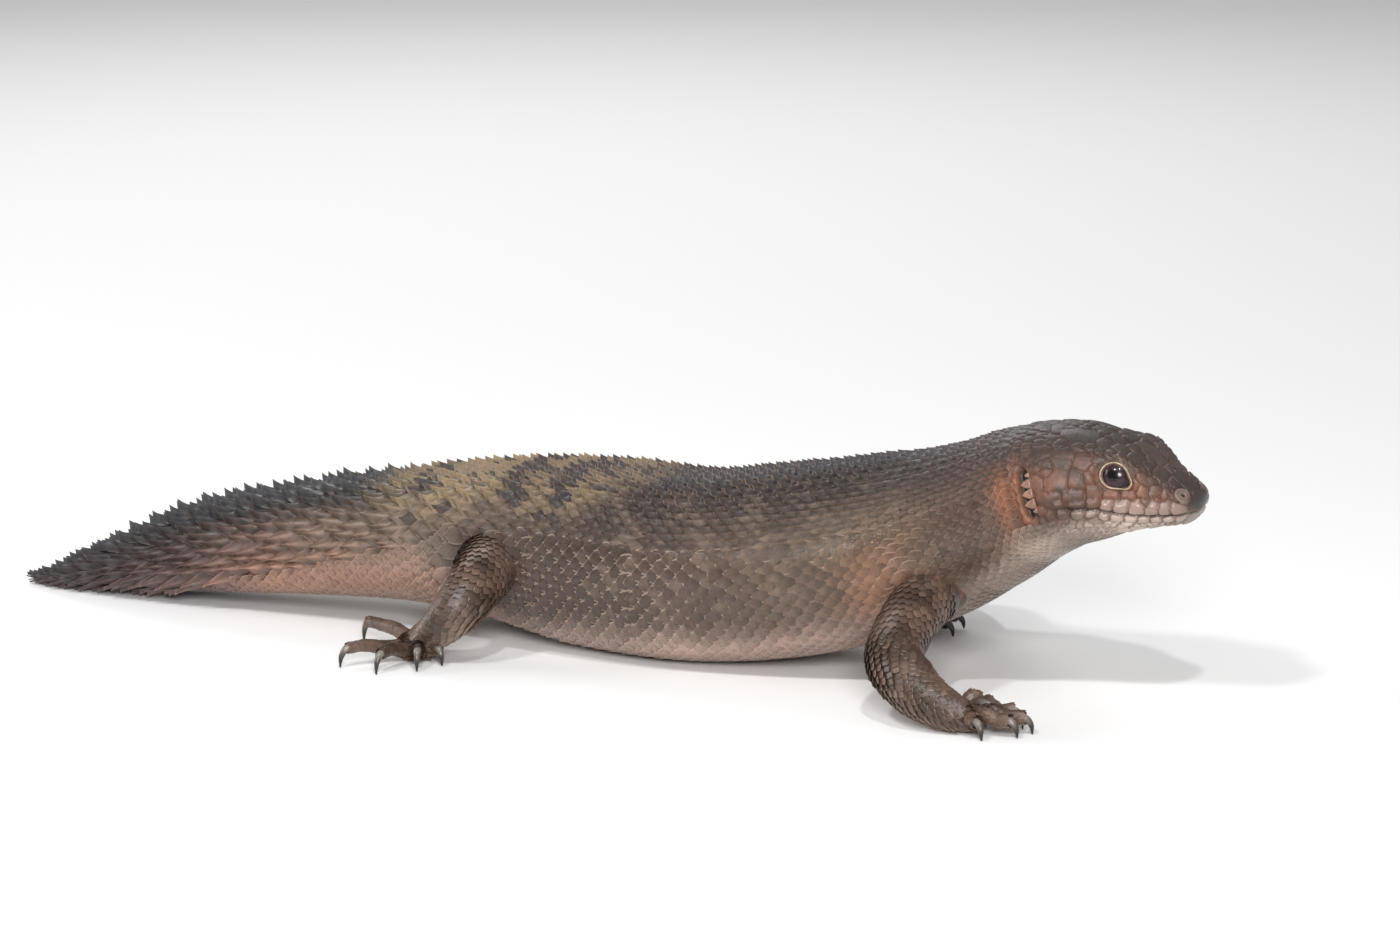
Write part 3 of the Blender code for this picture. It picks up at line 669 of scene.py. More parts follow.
tubes, claws = {}, {}
for limb, rows in LEGS.items():
    which, side = limb.split("_")
    palm, heading, digits = FEET[limb]
    tubes[limb + " leg"] = rows
    tubes[limb + " palm"] = palm_rows(palm, heading)
    for number, digit in enumerate(digits, 1):
        toe, claw = digit_rows(palm, *digit, TOES[which])
        tubes[f"{limb} toe {number}"] = toe
        claws[f"{which}_claw_{side}_{number}"] = claw
surfaces = {
    name: tube_at(rows, LEG_EASE if "leg" in name else CURVE_STEP) for name, rows in tubes.items()
}
print(len(tubes), "tubes for legs, palms and toes,", len(claws), "claws")

# %% [markdown]
# ## Shields of the head
#
# A skink's head is tiled with large shields that meet in narrow grooves: labials along the
# lips, loreals between eye and nostril, temporals on the cheek and paired shields on the
# crown. The main ones are placed here by name, by their place along X and either their
# angle from the back or their height on the side. Small scales fill the rest of the head on
# an even lattice. Each shield claims the skin that is nearest to it in its own proportions,
# which gives tight, slightly irregular tiles like the real ones.

# %% Place the shields
HEAD_END = 38.0
# x, angle from the back, half length, half width, dome
SHIELDS = {
    "frontonasal": (126.0, 0.0, 1.9, 2.3, 0.10),
    "prefrontal": (123.0, 22.0, 1.7, 1.9, 0.12),
    "frontal": (119.0, 0.0, 3.0, 2.0, 0.10),
    "supraocular 1": (120.8, 27.0, 1.3, 1.6, 0.12),
    "supraocular 2": (118.4, 27.0, 1.3, 2.0, 0.12),
    "supraocular 3": (115.8, 26.0, 1.4, 2.1, 0.12),
    "supraocular 4": (113.0, 26.0, 1.4, 1.9, 0.12),
    "frontoparietal": (113.8, 8.0, 2.0, 1.5, 0.08),
    "interparietal": (110.2, 0.0, 2.2, 1.4, 0.08),
    "parietal": (108.4, 19.0, 3.2, 2.7, 0.10),
    "nuchal 1": (104.0, 10.0, 1.5, 3.0, 0.12),
    "nuchal 2": (101.0, 9.0, 1.5, 2.6, 0.12),
    "upper temporal 1": (111.0, 56.0, 1.9, 1.8, 0.14),
    "upper temporal 2": (107.0, 52.0, 2.1, 2.0, 0.14),
    "upper temporal 3": (103.0, 48.0, 2.0, 2.0, 0.14),
    "preocular": (120.3, 36.0, 1.1, 1.2, 0.15),
    "presubocular": (121.4, 53.0, 1.1, 1.2, 0.16),
    "nasal": (128.2, 48.0, 1.45, 1.6, 0.22),
    "supranasal": (126.6, 28.0, 1.2, 1.3, 0.12),
    "rostral": (130.5, 0.0, 1.0, 3.4, 0.15),
    "mental": (130.0, 180.0, 1.2, 2.4, 0.12),
    "postmental": (127.4, 180.0, 1.5, 2.4, 0.12),
    "chin shield 1": (124.4, 160.0, 1.7, 1.9, 0.12),
    "chin shield 2": (121.0, 157.0, 1.8, 2.1, 0.12),
    "chin shield 3": (117.4, 155.0, 1.8, 2.2, 0.12),
}
SIDE_SHIELDS = {
    # x, height, half length, half width, dome
    "loreal 1": (121.9, 46.7, 1.05, 1.35, 0.26),
    "loreal 2": (124.1, 46.8, 1.05, 1.35, 0.26),
    "loreal 3": (126.0, 46.7, 0.85, 1.35, 0.26),
    "subocular 1": (119.5, 46.0, 1.4, 1.0, 0.20),
    "subocular 2": (116.6, 45.6, 1.5, 1.0, 0.18),
    "subocular 3": (113.4, 46.2, 1.5, 1.3, 0.18),
    "postocular": (112.3, 48.9, 1.2, 1.3, 0.16),
    "temporal 1": (109.8, 48.4, 1.5, 1.7, 0.12),
    "temporal 2": (106.4, 48.0, 2.1, 2.0, 0.12),
    "temporal 3": (109.3, 45.2, 2.0, 1.2, 0.12),
    "temporal 4": (105.0, 44.6, 2.2, 1.3, 0.12),
    "temporal 5": (102.6, 47.8, 1.5, 1.6, 0.14),
    "last upper labial": (113.2, 44.0, 1.5, 1.2, 0.20),
    "rear lip 1": (110.0, 43.4, 1.8, 0.7, 0.10),
    "rear lip 2": (106.6, 43.4, 1.8, 0.7, 0.10),
}
# Labials of the upper and of the lower lip: the x of each, their height over the line of the
# mouth, half length, half width and dome.
LABIALS = (
    ((116.1, 119.0, 121.9, 124.7, 127.2, 129.2), 1.55, 1.4, 1.5, 0.34),
    (
        (107.0, 109.8, 112.6, 115.4, 118.2, 120.9, 123.4, 125.8, 128.0, 129.7),
        -0.95, 1.3, 0.95, 0.26,
    ),
)
# Small scales fill the rest: their spacing, half size, and how far they keep off the shields.
FILLER_SPACING, FILLER_SIZE, FILLER_ROOM = 2.25, 1.2, 1.35
print(len(SHIELDS) + len(SIDE_SHIELDS), "shields placed by name")

# %% [markdown]
# ## Laying out the shields
#
# Drawing each shield's outline by hand would take days. Here a shield is only a middle, a
# direction and a size. Its twin on the other side comes by itself, and a lattice of small
# scales fills what is left. On the throat and the nape loose scales are laid later instead.

# %% Lay out the shields


def covered(distance, degrees):
    """1 where loose scales lie over the head's skin, on the throat and the nape, else 0."""
    side = np.abs(degrees)
    throat = smooth(distance, 13.0, 16.0) * smooth(side, 119.0, 126.0)
    cheek = smooth(distance, 22.0, 25.0) * smooth(side, 104.0, 110.0)
    nape = smooth(distance, 33.5, 35.5)
    return np.maximum(np.maximum(throat, cheek), nape)


def angle_at_height(x, height):
    """Angle down the side where the skin at x has this height."""
    degrees = np.linspace(20, 175, 311)
    heights = body_at(distance_at(x), degrees)[:, 2]
    return float(np.interp(-height, -heights, degrees))


class Shields:
    """All shields of the head, with places, directions and sizes as arrays."""

    def __init__(self):
        self.rows = []

    def put(self, x, degrees, half_length, half_width, dome, labial=0.0):
        """Adds a shield, and its twin unless it lies on the midline."""
        for sign in ((1,) if degrees in (0.0, 180.0) else (1, -1)):
            row = (distance_at(x), sign * degrees, half_length, half_width, dome, labial)
            self.rows.append(row)

    def arrays(self):
        rows = np.array(self.rows)
        u, degrees = rows[:, 0], rows[:, 1]
        out = facing(body_at, u, degrees)
        lie = body_at(u + 0.4, degrees) - body_at(u - 0.4, degrees)
        lie = unit(lie - out * (lie * out).sum(-1, keepdims=True))
        return rows, body_at(u, degrees), out, lie, np.cross(out, lie)

    def fill(self):
        """Puts small scales on a lattice wherever no named shield lies."""
        rows, place, _, lie, across = self.arrays()
        ring = np.linspace(0, 180, 181)
        row, at = 0, 0.8
        while at < HEAD_END + 1:
            arc = path_length(body_at(at, ring))
            wide = FILLER_SPACING * (0.55 + 0.45 * smooth(at, 4.0, 14.0))
            size = FILLER_SIZE * wide / FILLER_SPACING
            count = max(1, round(arc[-1] / wide))
            for k in range(count + 1):
                degrees = float(np.interp((k + 0.5 * (row % 2)) * arc[-1] / count, arc, ring))
                off = body_at(at, degrees) - place
                along, aside = (off * lie).sum(1) / rows[:, 2], (off * across).sum(1) / rows[:, 3]
                apart = np.linalg.norm(off, axis=1) / np.maximum(rows[:, 2], rows[:, 3])
                clear = min(np.maximum(np.hypot(along, aside), apart * 0.6)) > FILLER_ROOM
                on_nose = at < 4.5 and degrees < 85
                if clear and not on_nose:
                    self.put(x_at(at), degrees if degrees > 2 else 0.0, size, size * 0.95, 0.16)
            at += 0.82 * wide
            row += 1


shields = Shields()
for x, degrees, *size in SHIELDS.values():
    shields.put(x, degrees, *size)
for x, height, *size in SIDE_SHIELDS.values():
    shields.put(x, angle_at_height(x, height), *size)
for places, over_mouth, *size in LABIALS:
    for x in places:
        shields.put(x, angle_at_height(x, mouth_height(x) + over_mouth), *size, 1.0)
# A row of small scales over the eye.
for k, x in enumerate(np.linspace(112.2, 120.2, 7)):
    shields.put(x, 46.0 - 0.25 * k, 0.66, 0.75, 0.16)
shields.fill()
print(len(shields.rows), "shields and small scales on the head")

# %% [markdown]
# ## Places of the eye and the ear
#
# The skin is moved along its own facing by a height that adds up what lies there. It needs to
# know where the eye, the ear and the nostril are. The eyeball looks a little forward and up,
# and its lids' opening is an oval drawn out to a corner in front. Both are functions, because
# the eyeball, its rim and the lobules of the ear are placed by them later.

# %% Place the eye and the ear
EYE_RADIUS, EYE_DEPTH = 4.0, 3.6
EYE_X, EYE_ANGLE = 116.6, 66.0
EYE_FORWARD, EYE_UP = 0.12, 0.26
HEAD_TURN = 6.6
LID_LONG, LID_HIGH = 2.75, 2.45
CORNER_SIZE, CORNER_TURN, CORNER_POINT = 0.36, math.radians(30), 10
EAR_TOP, EAR_LOW = (100.0, 48.8), (100.5, 41.3)
NOSTRIL_X, NOSTRIL_ANGLE, NOSTRIL_SIZE = 129.0, 43.5, 0.66


def eye_frame(sign):
    """Middle of an eyeball and the directions forward, up and out of the head."""
    turn = math.radians(HEAD_TURN)
    ahead = np.array([math.cos(turn), -math.sin(turn), 0.0])
    aside = np.array([math.sin(turn), math.cos(turn), 0.0]) * sign
    out = unit(aside + EYE_FORWARD * ahead + np.array([0.0, 0.0, EYE_UP]))
    middle = body_at(distance_at(EYE_X), sign * EYE_ANGLE) - out * EYE_DEPTH
    forward = unit(ahead - out * (out @ ahead))
    return middle, forward, np.cross(forward, out) * sign, out


def eye_corner(angle):
    """How much longer the lids' opening is towards an angle, where its corner lies."""
    return 1 + CORNER_SIZE * np.maximum(0, np.cos(angle + CORNER_TURN)) ** CORNER_POINT


def eye_reach(points, sign):
    """Distance from the middle of the lids' opening, 1 at the opening's edge."""
    middle, forward, up, out = eye_frame(sign)
    off = points - middle
    along, high = off @ forward, off @ up
    reach = np.hypot(along / LID_LONG, high / LID_HIGH) / eye_corner(np.arctan2(high, along))
    return np.where(off @ out > 0, reach, 9.0)


def onto_ball(points, normals, sign, over):
    """How far points must move along their normals to lie a little over the eyeball."""
    off = points - eye_frame(sign)[0]
    towards = (off * normals).sum(-1)
    room = towards**2 - (off * off).sum(-1) + (EYE_RADIUS + over) ** 2
    return np.clip(np.sqrt(np.maximum(room, 0.0)) - towards, -0.9, 0.4)


def ear_place(share, sign):
    """A point on the ear's slit, from 0 at its top to 1 at its foot."""
    x = EAR_TOP[0] + (EAR_LOW[0] - EAR_TOP[0]) * share
    height = EAR_TOP[1] + (EAR_LOW[1] - EAR_TOP[1]) * share
    return distance_at(x), sign * angle_at_height(x, height)


ear_ends = [body_at(*ear_place(share, 1)).round(1) for share in (0.0, 1.0)]
print("eyeball at", eye_frame(1)[0].round(1), "and ear from", *ear_ends)

# %% [markdown]
# ## Tiles of the head
#
# Each point of the head's skin belongs to the shield that is nearest to it in that shield's
# own proportions. Where the nearest and the next are equally near, a groove runs. Between the
# grooves a shield is slightly domed and rises a little towards its hind edge.

# %% Tile the head
GROOVE_DEPTH, GROOVE_WIDTH, DOMED_WIDTH = 0.34, 0.24, 0.34
DOMED, TONE_STEP, BATCH = 0.17, 0.618034, 8000


def wavered(points):
    """Points moved a little, so that borders waver as the real ones do."""
    slow = 0.16 * np.sin(points[:, [1, 2, 0]] * 2.3 + (0.4, 1.9, 3.1))
    fast = 0.07 * np.sin(points[:, [2, 0, 1]] * 6.1 + (2.0, 0.3, 1.2))
    return points + (slow + fast)


def tiles(points, distance):
    """Height over the head's points, how deep in a groove and on a labial, and a tile's tone."""
    rows, place, out, lie, across = shields.arrays()
    small = np.minimum(rows[:, 2], rows[:, 3])
    parts = []
    for start in range(0, len(points), BATCH):
        off = wavered(points[start : start + BATCH])[:, None, :] - place[None]
        a = np.abs((off * lie).sum(-1)) / rows[:, 2]
        b = np.abs((off * across).sum(-1)) / rows[:, 3]
        c = np.abs((off * out).sum(-1)) / small
        reach = (a**3 + b**3 + (0.7 * c) ** 3) ** (1 / 3)
        order = np.argpartition(reach, 1, axis=1)[:, :2]
        first, second = order.T
        nearest, next_nearest = np.take_along_axis(reach, order, 1).T
        edge = (next_nearest - nearest) * (small[first] + small[second]) / 4
        rearward = (off[np.arange(len(first)), first] * lie[first]).sum(-1) / rows[first, 2]
        domed = np.maximum(rows[first, 4], rows[second, 4]) > DOMED
        groove = 1 - smooth(edge, 0.02, np.where(domed, DOMED_WIDTH, GROOVE_WIDTH))
        dome = rows[first, 4] * (1 - np.minimum(nearest, 1.2) ** 2)
        tilt = 0.11 * rearward * np.minimum(rows[first, 2], 1.6)
        height = dome + tilt - GROOVE_DEPTH * groove * np.where(domed, 1.0, 0.75)
        parts.append((height, groove, rows[first, 5], (first * TONE_STEP) % 1.0))
    height, groove, labial, tone = (np.concatenate(part) for part in zip(*parts))
    return height * smooth(distance, 0.2, 2.0), groove, labial, tone


# %% [markdown]
# ## Mouth, eyes, ears and nostrils
#
# The mouth is a slot along its line. Each eye has lids that lie on the eyeball, each ear a slit
# with a hollow behind it, and each nostril a pit in a ring. Each is worked out from how far a
# point is from its middle, so a bell or a smooth step draws every rim and furrow. Working out
# the height as numbers for each vertex keeps all of it in one closed skin.

# %% Heights over the head
HEAD_LIFT = -0.12
LID_OVER_BALL = 0.06
SLOT_WIDTH, SLOT_DEPTH = 0.26, 0.75
EAR_DEPTH, EAR_AHEAD, EAR_BEHIND = 1.55, 1.15, 1.5


def eye_relief(points, normals, here, sign, height):
    """The eye: a hollow behind the lids, their rim, and a furrow round it."""
    reach = np.where(here, eye_reach(points, sign), 9.0)
    height = height * smooth(reach, 1.0, 1.5) - 0.30 * bell(reach, 1.36, 0.10) * (reach < 3)
    height = height + 0.10 * bell(reach, 1.75, 0.22)
    lid = 1 - smooth(reach, 1.06, 1.36)
    on_ball = onto_ball(points, normals, sign, LID_OVER_BALL - HEAD_LIFT)
    height = height * (1 - lid) + on_ball * lid
    height = np.where(reach < 1.9, np.maximum(height, on_ball), height)
    return height - 1.0 * (1 - smooth(reach, 0.84, 0.94))


def ear_relief(points, here, sign, height, groove, dark):
    """The ear: a slit with a wider smooth hollow behind it."""
    top, foot = body_at(*ear_place(0.0, sign)), body_at(*ear_place(1.0, sign))
    line = foot - top
    share = np.clip(((points - top) @ line) / (line @ line), 0, 1)
    away = points - (top + share[:, None] * line)
    ahead, far = away[:, 0], np.linalg.norm(away, axis=1)
    wide = np.where(ahead > 0, EAR_AHEAD, EAR_BEHIND)
    hollow = np.where(here, np.exp(-((far / wide) ** 4)), 0.0)
    # Painted shade: the slit is painted nearly black for the shade inside the ear's opening.
    slit = np.where(here & (ahead < 0.5), 1 - smooth(far, 0.7, 1.5), 0)
    height = height * (1 - hollow) - EAR_DEPTH * hollow
    return height, groove * (1 - hollow), np.maximum(dark, slit)


def nostril_relief(points, sign, height, groove, labial, dark):
    """The nostril: a round pit in a raised ring, with a furrow on the ring and one round it."""
    nose = body_at(distance_at(NOSTRIL_X), sign * NOSTRIL_ANGLE)
    far = np.linalg.norm(points - nose, axis=1) * NOSTRIL_SIZE
    ring, furrow, crease = 1 - smooth(far, 1.0, 1.25), bell(far, 1.32, 0.14), bell(far, 0.66, 0.09)
    height = height * smooth(far, 1.0, 1.4) + 0.2 * ring - 0.25 * furrow - 0.14 * crease
    height = height - 0.7 * (1 - smooth(far, 0.22, 0.36))
    groove = groove * smooth(far, 1.2, 1.5) + (furrow + 0.6 * crease)
    # Painted shade: the pit is painted nearly black for the shade inside the nostril.
    pit = 1 - smooth(far, 0.2, 0.34)
    return height, groove, np.maximum(labial, 0.7 * ring), np.maximum(dark, pit)


def head_relief(distance, degrees):
    """Height of the head's skin, and the values that its material reads."""
    points = body_at(distance, degrees)
    normals = facing(body_at, distance, degrees)
    height, groove, labial, tone = tiles(points, distance)
    slot = bell(points[:, 2], mouth_height(points[:, 0]), SLOT_WIDTH)
    slot = slot * smooth(points[:, 0], MOUTH_BACK, MOUTH_BACK + 3) * (np.abs(degrees) > 60)
    height = height - SLOT_DEPTH * slot
    # Painted shade: the mouth's slot is painted nearly black for the shade deep in it.
    dark = slot * 0.8
    for sign in (1, -1):
        here = np.sign(degrees) == sign
        height = eye_relief(points, normals, here, sign, height)
        height, groove, dark = ear_relief(points, here, sign, height, groove, dark)
        height, groove, labial, dark = nostril_relief(points, sign, height, groove, labial, dark)
    return height, {"groove": np.clip(groove, 0, 1), "labial": labial, "tone": tone, "dark": dark}


# %% [markdown]
# ## One closed skin
#
# The skin is built ring by ring, closely on the head, where every groove counts, and loosely
# on the body, where scales cover it. The legs, palms and toes are closed tubes, and a Boolean
# union joins them to the body, so that no seam shows where a leg leaves the flank.

# %% Turn points into meshes


def tube_mesh(rings):
    """Points and faces of a closed tube through rings, with a point at each end."""
    points = np.concatenate([*rings, [rings[0].mean(0)], [rings[-1].mean(0)]])
    count, faces = len(rings[0]), []
    for i in range(len(rings) - 1):
        for j in range(count):
            k, n = i * count + j, i * count + (j + 1) % count
            faces.append((k, n, n + count, k + count))
    first, last = len(points) - 2, len(points) - 1
    end = (len(rings) - 1) * count
    faces += [(first, (j + 1) % count, j) for j in range(count)]
    faces += [(last, end + j, end + (j + 1) % count) for j in range(count)]
    return points, faces


def store(mesh, key, values):
    """Keeps one number or one vector for each vertex under a name."""
    values = np.asarray(values, np.float32)
    kind, field = ("FLOAT", "value") if values.ndim == 1 else ("FLOAT_VECTOR", "vector")
    mesh.attributes.new(key, kind, "POINT").data.foreach_set(field, values.ravel())


def link_object(name, mesh):
    """An object of a mesh with its faces turned outwards and shaded smoothly."""
    form = bmesh.new()
    form.from_mesh(mesh)
    bmesh.ops.recalc_face_normals(form, faces=form.faces)
    form.to_mesh(mesh)
    form.free()
    mesh.shade_smooth()
    obj = bpy.data.objects.new(name, mesh)
    bpy.context.scene.collection.objects.link(obj)
    return obj


def make_object(name, points, faces, finish=None, attributes=None):
    """An object from points in millimetres, with its material and stored values."""
    mesh = bpy.data.meshes.new(name)
    mesh.from_pydata(to_metres(points), [], faces)
    for key, values in (attributes or {}).items():
        store(mesh, key, values)
    if finish:
        mesh.materials.append(finish)
    return link_object(name, mesh)


def apply_modifier(obj, change):
    """Makes a modifier's result the object's own plain mesh."""
    bpy.context.view_layer.update()
    graph = bpy.context.evaluated_depsgraph_get()
    made = bpy.data.meshes.new_from_object(obj.evaluated_get(graph))
    obj.modifiers.remove(change)
    obj.data = made


def join_closed(obj, others):
    """Joins closed meshes into one by a Boolean union, and removes them."""
    group = bpy.data.collections.new("pieces to join")
    bpy.context.scene.collection.children.link(group)
    for other in others:
        bpy.context.scene.collection.objects.unlink(other)
        group.objects.link(other)
    change = obj.modifiers.new("join", "BOOLEAN")
    change.operation = "UNION"
    change.solver = "MANIFOLD"
    change.operand_type = "COLLECTION"
    change.collection = group
    apply_modifier(obj, change)
    for other in others:
        bpy.data.objects.remove(other)
    bpy.data.collections.remove(group)


# %% [markdown]
# ## Rings of the skin
#
# The rings are plain numbers first: their places behind the snout, and angles that crowd on
# the sides of the face, where the finest grooves are. Under the loose scales the skin lies a
# little deeper than the body's surface, as it does on the animal, where they are rooted in it.

# %% Build the skin
SKIN_DEPTH, HOLLOW_DEPTH, FLOOR_GAP = 0.55, 0.4, 0.5
AROUND = 300


def ring_degrees(count):
    """Angles round the body, closest together on the sides of the face."""
    share = (np.arange(count) + 0.5) / count * 2 - 1
    side = np.abs(share)
    return np.sign(share) * 180 * (side - 0.045 * np.sin(2 * math.pi * (side - 0.06)) - 0.017)


# Where the rings lie behind the snout, and how many: close on the head, loose on the body.
RINGS = ((0.0, 24.0, 120), (24.26, HEAD_END, 52), (HEAD_END + 0.6, LENGTH, 84))
ring_places = np.concatenate([np.linspace(*part) for part in RINGS])
grid = np.meshgrid(ring_places, ring_degrees(AROUND), indexing="ij")
flat_u, flat_g = (values.ravel() for values in grid)
is_head = flat_u <= HEAD_END
height, head_values = head_relief(flat_u[is_head], flat_g[is_head])
fade = covered(flat_u[is_head], flat_g[is_head])
lift = np.full(len(flat_u), -SKIN_DEPTH)
# Where the neck meets the shoulder the skin lies deeper, clear of the scales over the hollow.
lift -= HOLLOW_DEPTH * smooth(flat_u, 38.0, 46.0) * (1 - smooth(flat_u, 85.0, 100.0))
lift[is_head] = (height + HEAD_LIFT) * (1 - fade) - SKIN_DEPTH * fade
lift *= smooth(flat_u, -0.6, 0.8)
skin_points = body_at(flat_u, flat_g, lift, FLOOR_GAP)
skin = make_object("skin", *tube_mesh(skin_points.reshape(len(ring_places), AROUND, 3)))
print(len(ring_places), "rings of", AROUND, "points")

# %% [markdown]
# ## Joining the limbs
#
# Legs, palms and toes start inside the body or inside one another. Left like that, their
# hidden ends would cut through the skin from inside, so a union keeps only the outer surface.

# %% Join the limbs to the skin
LIMB_DEPTH = 0.25
LIMB_ANGLES = np.arange(24) * 15.0
pieces = []
for name, surface in surfaces.items():
    count, round_ends = (26, 0.0) if "leg" in name else (12, 0.35)
    rings = []
    for share in np.linspace(0, 1, count):
        depth = LIMB_DEPTH + round_ends * (2 * abs(share - 0.5)) ** 6
        rings.append(surface(share, LIMB_ANGLES, -depth, FLOOR_GAP))
    pieces.append(make_object(name, *tube_mesh(rings)))
join_closed(skin, pieces)
print("skin:", len(skin.data.polygons), "faces")

# %% [markdown]
# ## Values on the skin
#
# The union makes new vertices, so the values that the hide's material reads are found again
# for each vertex, from the nearest place on the tube it came from.

# %% Give the skin its values


def nearest_of(samples, points):
    """For each point, the number of the nearest sample and its distance."""
    tree = KDTree(len(samples))
    for i, sample in enumerate(samples):
        tree.insert(sample, i)
    tree.balance()
    found = [tree.find(point) for point in points]
    return np.array([f[1] for f in found]), np.array([f[2] for f in found])


samples, shares = [], []
for surface in surfaces.values():
    for share in np.linspace(0, 1, 40):
        samples.append(surface(share, LIMB_ANGLES, -LIMB_DEPTH))
        shares.append(np.full(len(LIMB_ANGLES), share))
unders = np.tile((1 - np.cos(np.radians(LIMB_ANGLES))) / 2, len(samples))
mesh = skin.data
vertices = np.empty(len(mesh.vertices) * 3, np.float32)
mesh.vertices.foreach_get("co", vertices)
vertices = vertices.reshape(-1, 3) / MM + ORIGIN
nearest, body_far = nearest_of(skin_points, vertices)
limb_nearest, limb_far = nearest_of(np.concatenate(samples), vertices)
on_limb = limb_far < body_far * 0.8
limb_share = np.concatenate(shares)[limb_nearest] * 100
store(mesh, "root", to_metres(vertices))
store(mesh, "along", np.where(on_limb, limb_share, flat_u[nearest]))
store(mesh, "under", np.where(on_limb, unders[limb_nearest], np.abs(flat_g[nearest]) / 180))
store(mesh, "limb", on_limb)
for key, values in head_values.items():
    full = np.full(len(flat_u), 0.5 if key == "tone" else 0.0)
    full[is_head] = values
    store(mesh, key, full[nearest])
print("values for", len(vertices), "vertices,", int(on_limb.sum()), "of them on the limbs")

# %% [markdown]
# ## Finish of the skin
#
# The skin's material adds to the markings what only bare skin and head shields show: dark
# lines in the grooves, lips paler than the cheek, a dark snout, painted shade in the mouth's
# slot, the ears' slits and the nostrils' pits, and fine wrinkles as bump.

# %% Finish of the skin
skin_finish, pen = new_material("skin and head shields")
place, along, under = pen.place(), pen.number("along"), pen.number("under")
warm = place.noise(260.0, 3.0).between(0.40, 0.62) * under.near(0.44, 0.3)
colour = (warm * 0.4).mix(markings(pen), "#875640")
colour = colour.times(0.40 + pen.number("tone") * 0.3 + place.noise(900.0, 4.0) * 0.75)
lips = pen.number("labial") * along.between(24.0, 19.0)
colour = (lips * 0.4).mix(colour, "#a8958b")
snout = along.between(1.6, 0.3) * under.between(0.50, 0.36)
colour = snout.mix(colour, "#3b3636")
colour = (pen.number("groove") * 0.6).mix(colour, "#422619")
# Painted shade: the mouth's slot, the ears' slits and the nostrils' pits are painted nearly black.
colour = pen.number("dark").mix(colour, "#120b08")
wrinkles = place.noise(2600.0, 3.0)
height = wrinkles * 0.4 + place.noise(1000.0, 2.0)
bump = pen.add("Bump", None, {"Strength": 0.35, "Distance": 0.0003, "Height": height})
connect(pen, {
    "Base Color": colour, "Normal": bump, "Specular IOR Level": 0.32,
    "Roughness": 0.30 + wrinkles * 0.2 - lips * 0.14,
})
mesh.materials.clear()
mesh.materials.append(skin_finish)
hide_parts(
    "head", "neck", "torso", "hips", "tail_base", "tail_end",
    "front_leg_left", "front_leg_right", "hind_leg_left", "hind_leg_right",
    "front_foot_left", "front_foot_right", "hind_foot_left", "hind_foot_right",
)
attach(skin, "root")

# %% [markdown]
# ## One scale, then thousands
#
# A scale is a thin solid plate: narrow in front where it is rooted, widest in its middle and
# pointed behind, where its free edge lies over the next. Those of the back carry a keel that
# ends in a spine. A few forms are made once here, one unit wide and long. Each remembers for
# every vertex its place across and along the scale and how near it is to the free edge, for
# the material's streaks, its painted shade at the root, its painted highlight on the keel
# and its pale margins, which are partly painted highlight.

# %% Forms of the scales


def scale_form(name, columns, rows, width, height, under_depth=0.35):
    """A plate from its width along it and its height over it, closed underneath."""
    across, along = np.linspace(-1, 1, columns), np.linspace(0, 1, rows)
    V, C = np.meshgrid(along, across, indexing="ij")
    points = np.stack([C * width(V) / 2, V, height(C, V)], -1).reshape(-1, 3)
    edge = np.maximum(np.abs(C), smooth(V, 0.72, 1.0))
    local = np.stack([C, V, edge], -1).reshape(-1, 3)
    faces = []
    for i in range(rows - 1):
        for j in range(columns - 1):
            k = i * columns + j
            faces.append((k, k + 1, k + columns + 1, k + columns))
    rim = list(range(columns))
    rim += [i * columns + columns - 1 for i in range(1, rows)]
    rim += [(rows - 1) * columns + j for j in range(columns - 2, -1, -1)]
    rim += [i * columns for i in range(rows - 2, 0, -1)]
    keel = len(points)
    points = np.concatenate([points, [[0.0, 0.45, points[:, 2].min() - under_depth]]])
    local = np.concatenate([local, [[0.0, 0.5, 0.0]]])
    faces += [(keel, rim[(j + 1) % len(rim)], rim[j]) for j in range(len(rim))]
    mesh = bpy.data.meshes.new(name)
    mesh.from_pydata(points, [], faces)
    store(mesh, "local", local)
    obj = link_object(name, mesh)
    mesh.set_sharp_from_angle(angle=math.radians(55))
    obj.hide_render = True
    return obj


def pointed(v):
    """Width of a scale that narrows to a point behind."""
    root = 0.55 + 0.5 * smooth(v, 0.0, 0.42)
    return root * np.maximum(0.02, 1 - smooth(v, 0.45, 1.08) * 1.06)


def spiked(v):
    """Width of a tail spine, wide at its root and drawn out to a long point."""
    root = 0.62 + 0.44 * smooth(v, 0.0, 0.35)
    return root * np.maximum(0.02, 1 - np.clip((v - 0.34) / 0.66, 0, 1) ** 0.95)


def rounded(v):
    """Width of a scale with a round free edge."""
    root = 0.62 + 0.42 * smooth(v, 0.0, 0.4)
    return root * np.sqrt(np.maximum(0.004, 1 - np.clip((v - 0.5) / 0.5, 0, 1) ** 2.4))


def keeled(c, v):
    """Height of a scale of the back, with a high keel and a low one beside it."""
    ridge = bell(c, 0.0, 0.30) * (0.22 * smooth(v, 0.1, 0.6) + 0.36 * v**3)
    low = bell(np.abs(c), 0.62, 0.18) * 0.08 * smooth(v, 0.1, 0.6)
    return 0.04 + 0.26 * v + 0.12 * (1 - c**2) + ridge + low - 0.10 * c**4


def domed(c, v):
    """Height of a scale of the flank, domed with two faint keels."""
    keels = bell(np.abs(c), 0.42, 0.14) * smooth(v, 0.1, 0.5)
    return 0.02 + 0.62 * v + 0.20 * (1 - c**2) * smooth(v, 0.0, 0.5) + 0.07 * keels


def spined(c, v):
    """Height of a tail spine, with one broad keel that rises into the point."""
    ridge = bell(c, 0.0, 0.40) * (0.22 * smooth(v, 0.05, 0.6) + 0.58 * v**4)
    return 0.03 + 0.16 * v + ridge - 0.20 * c**2


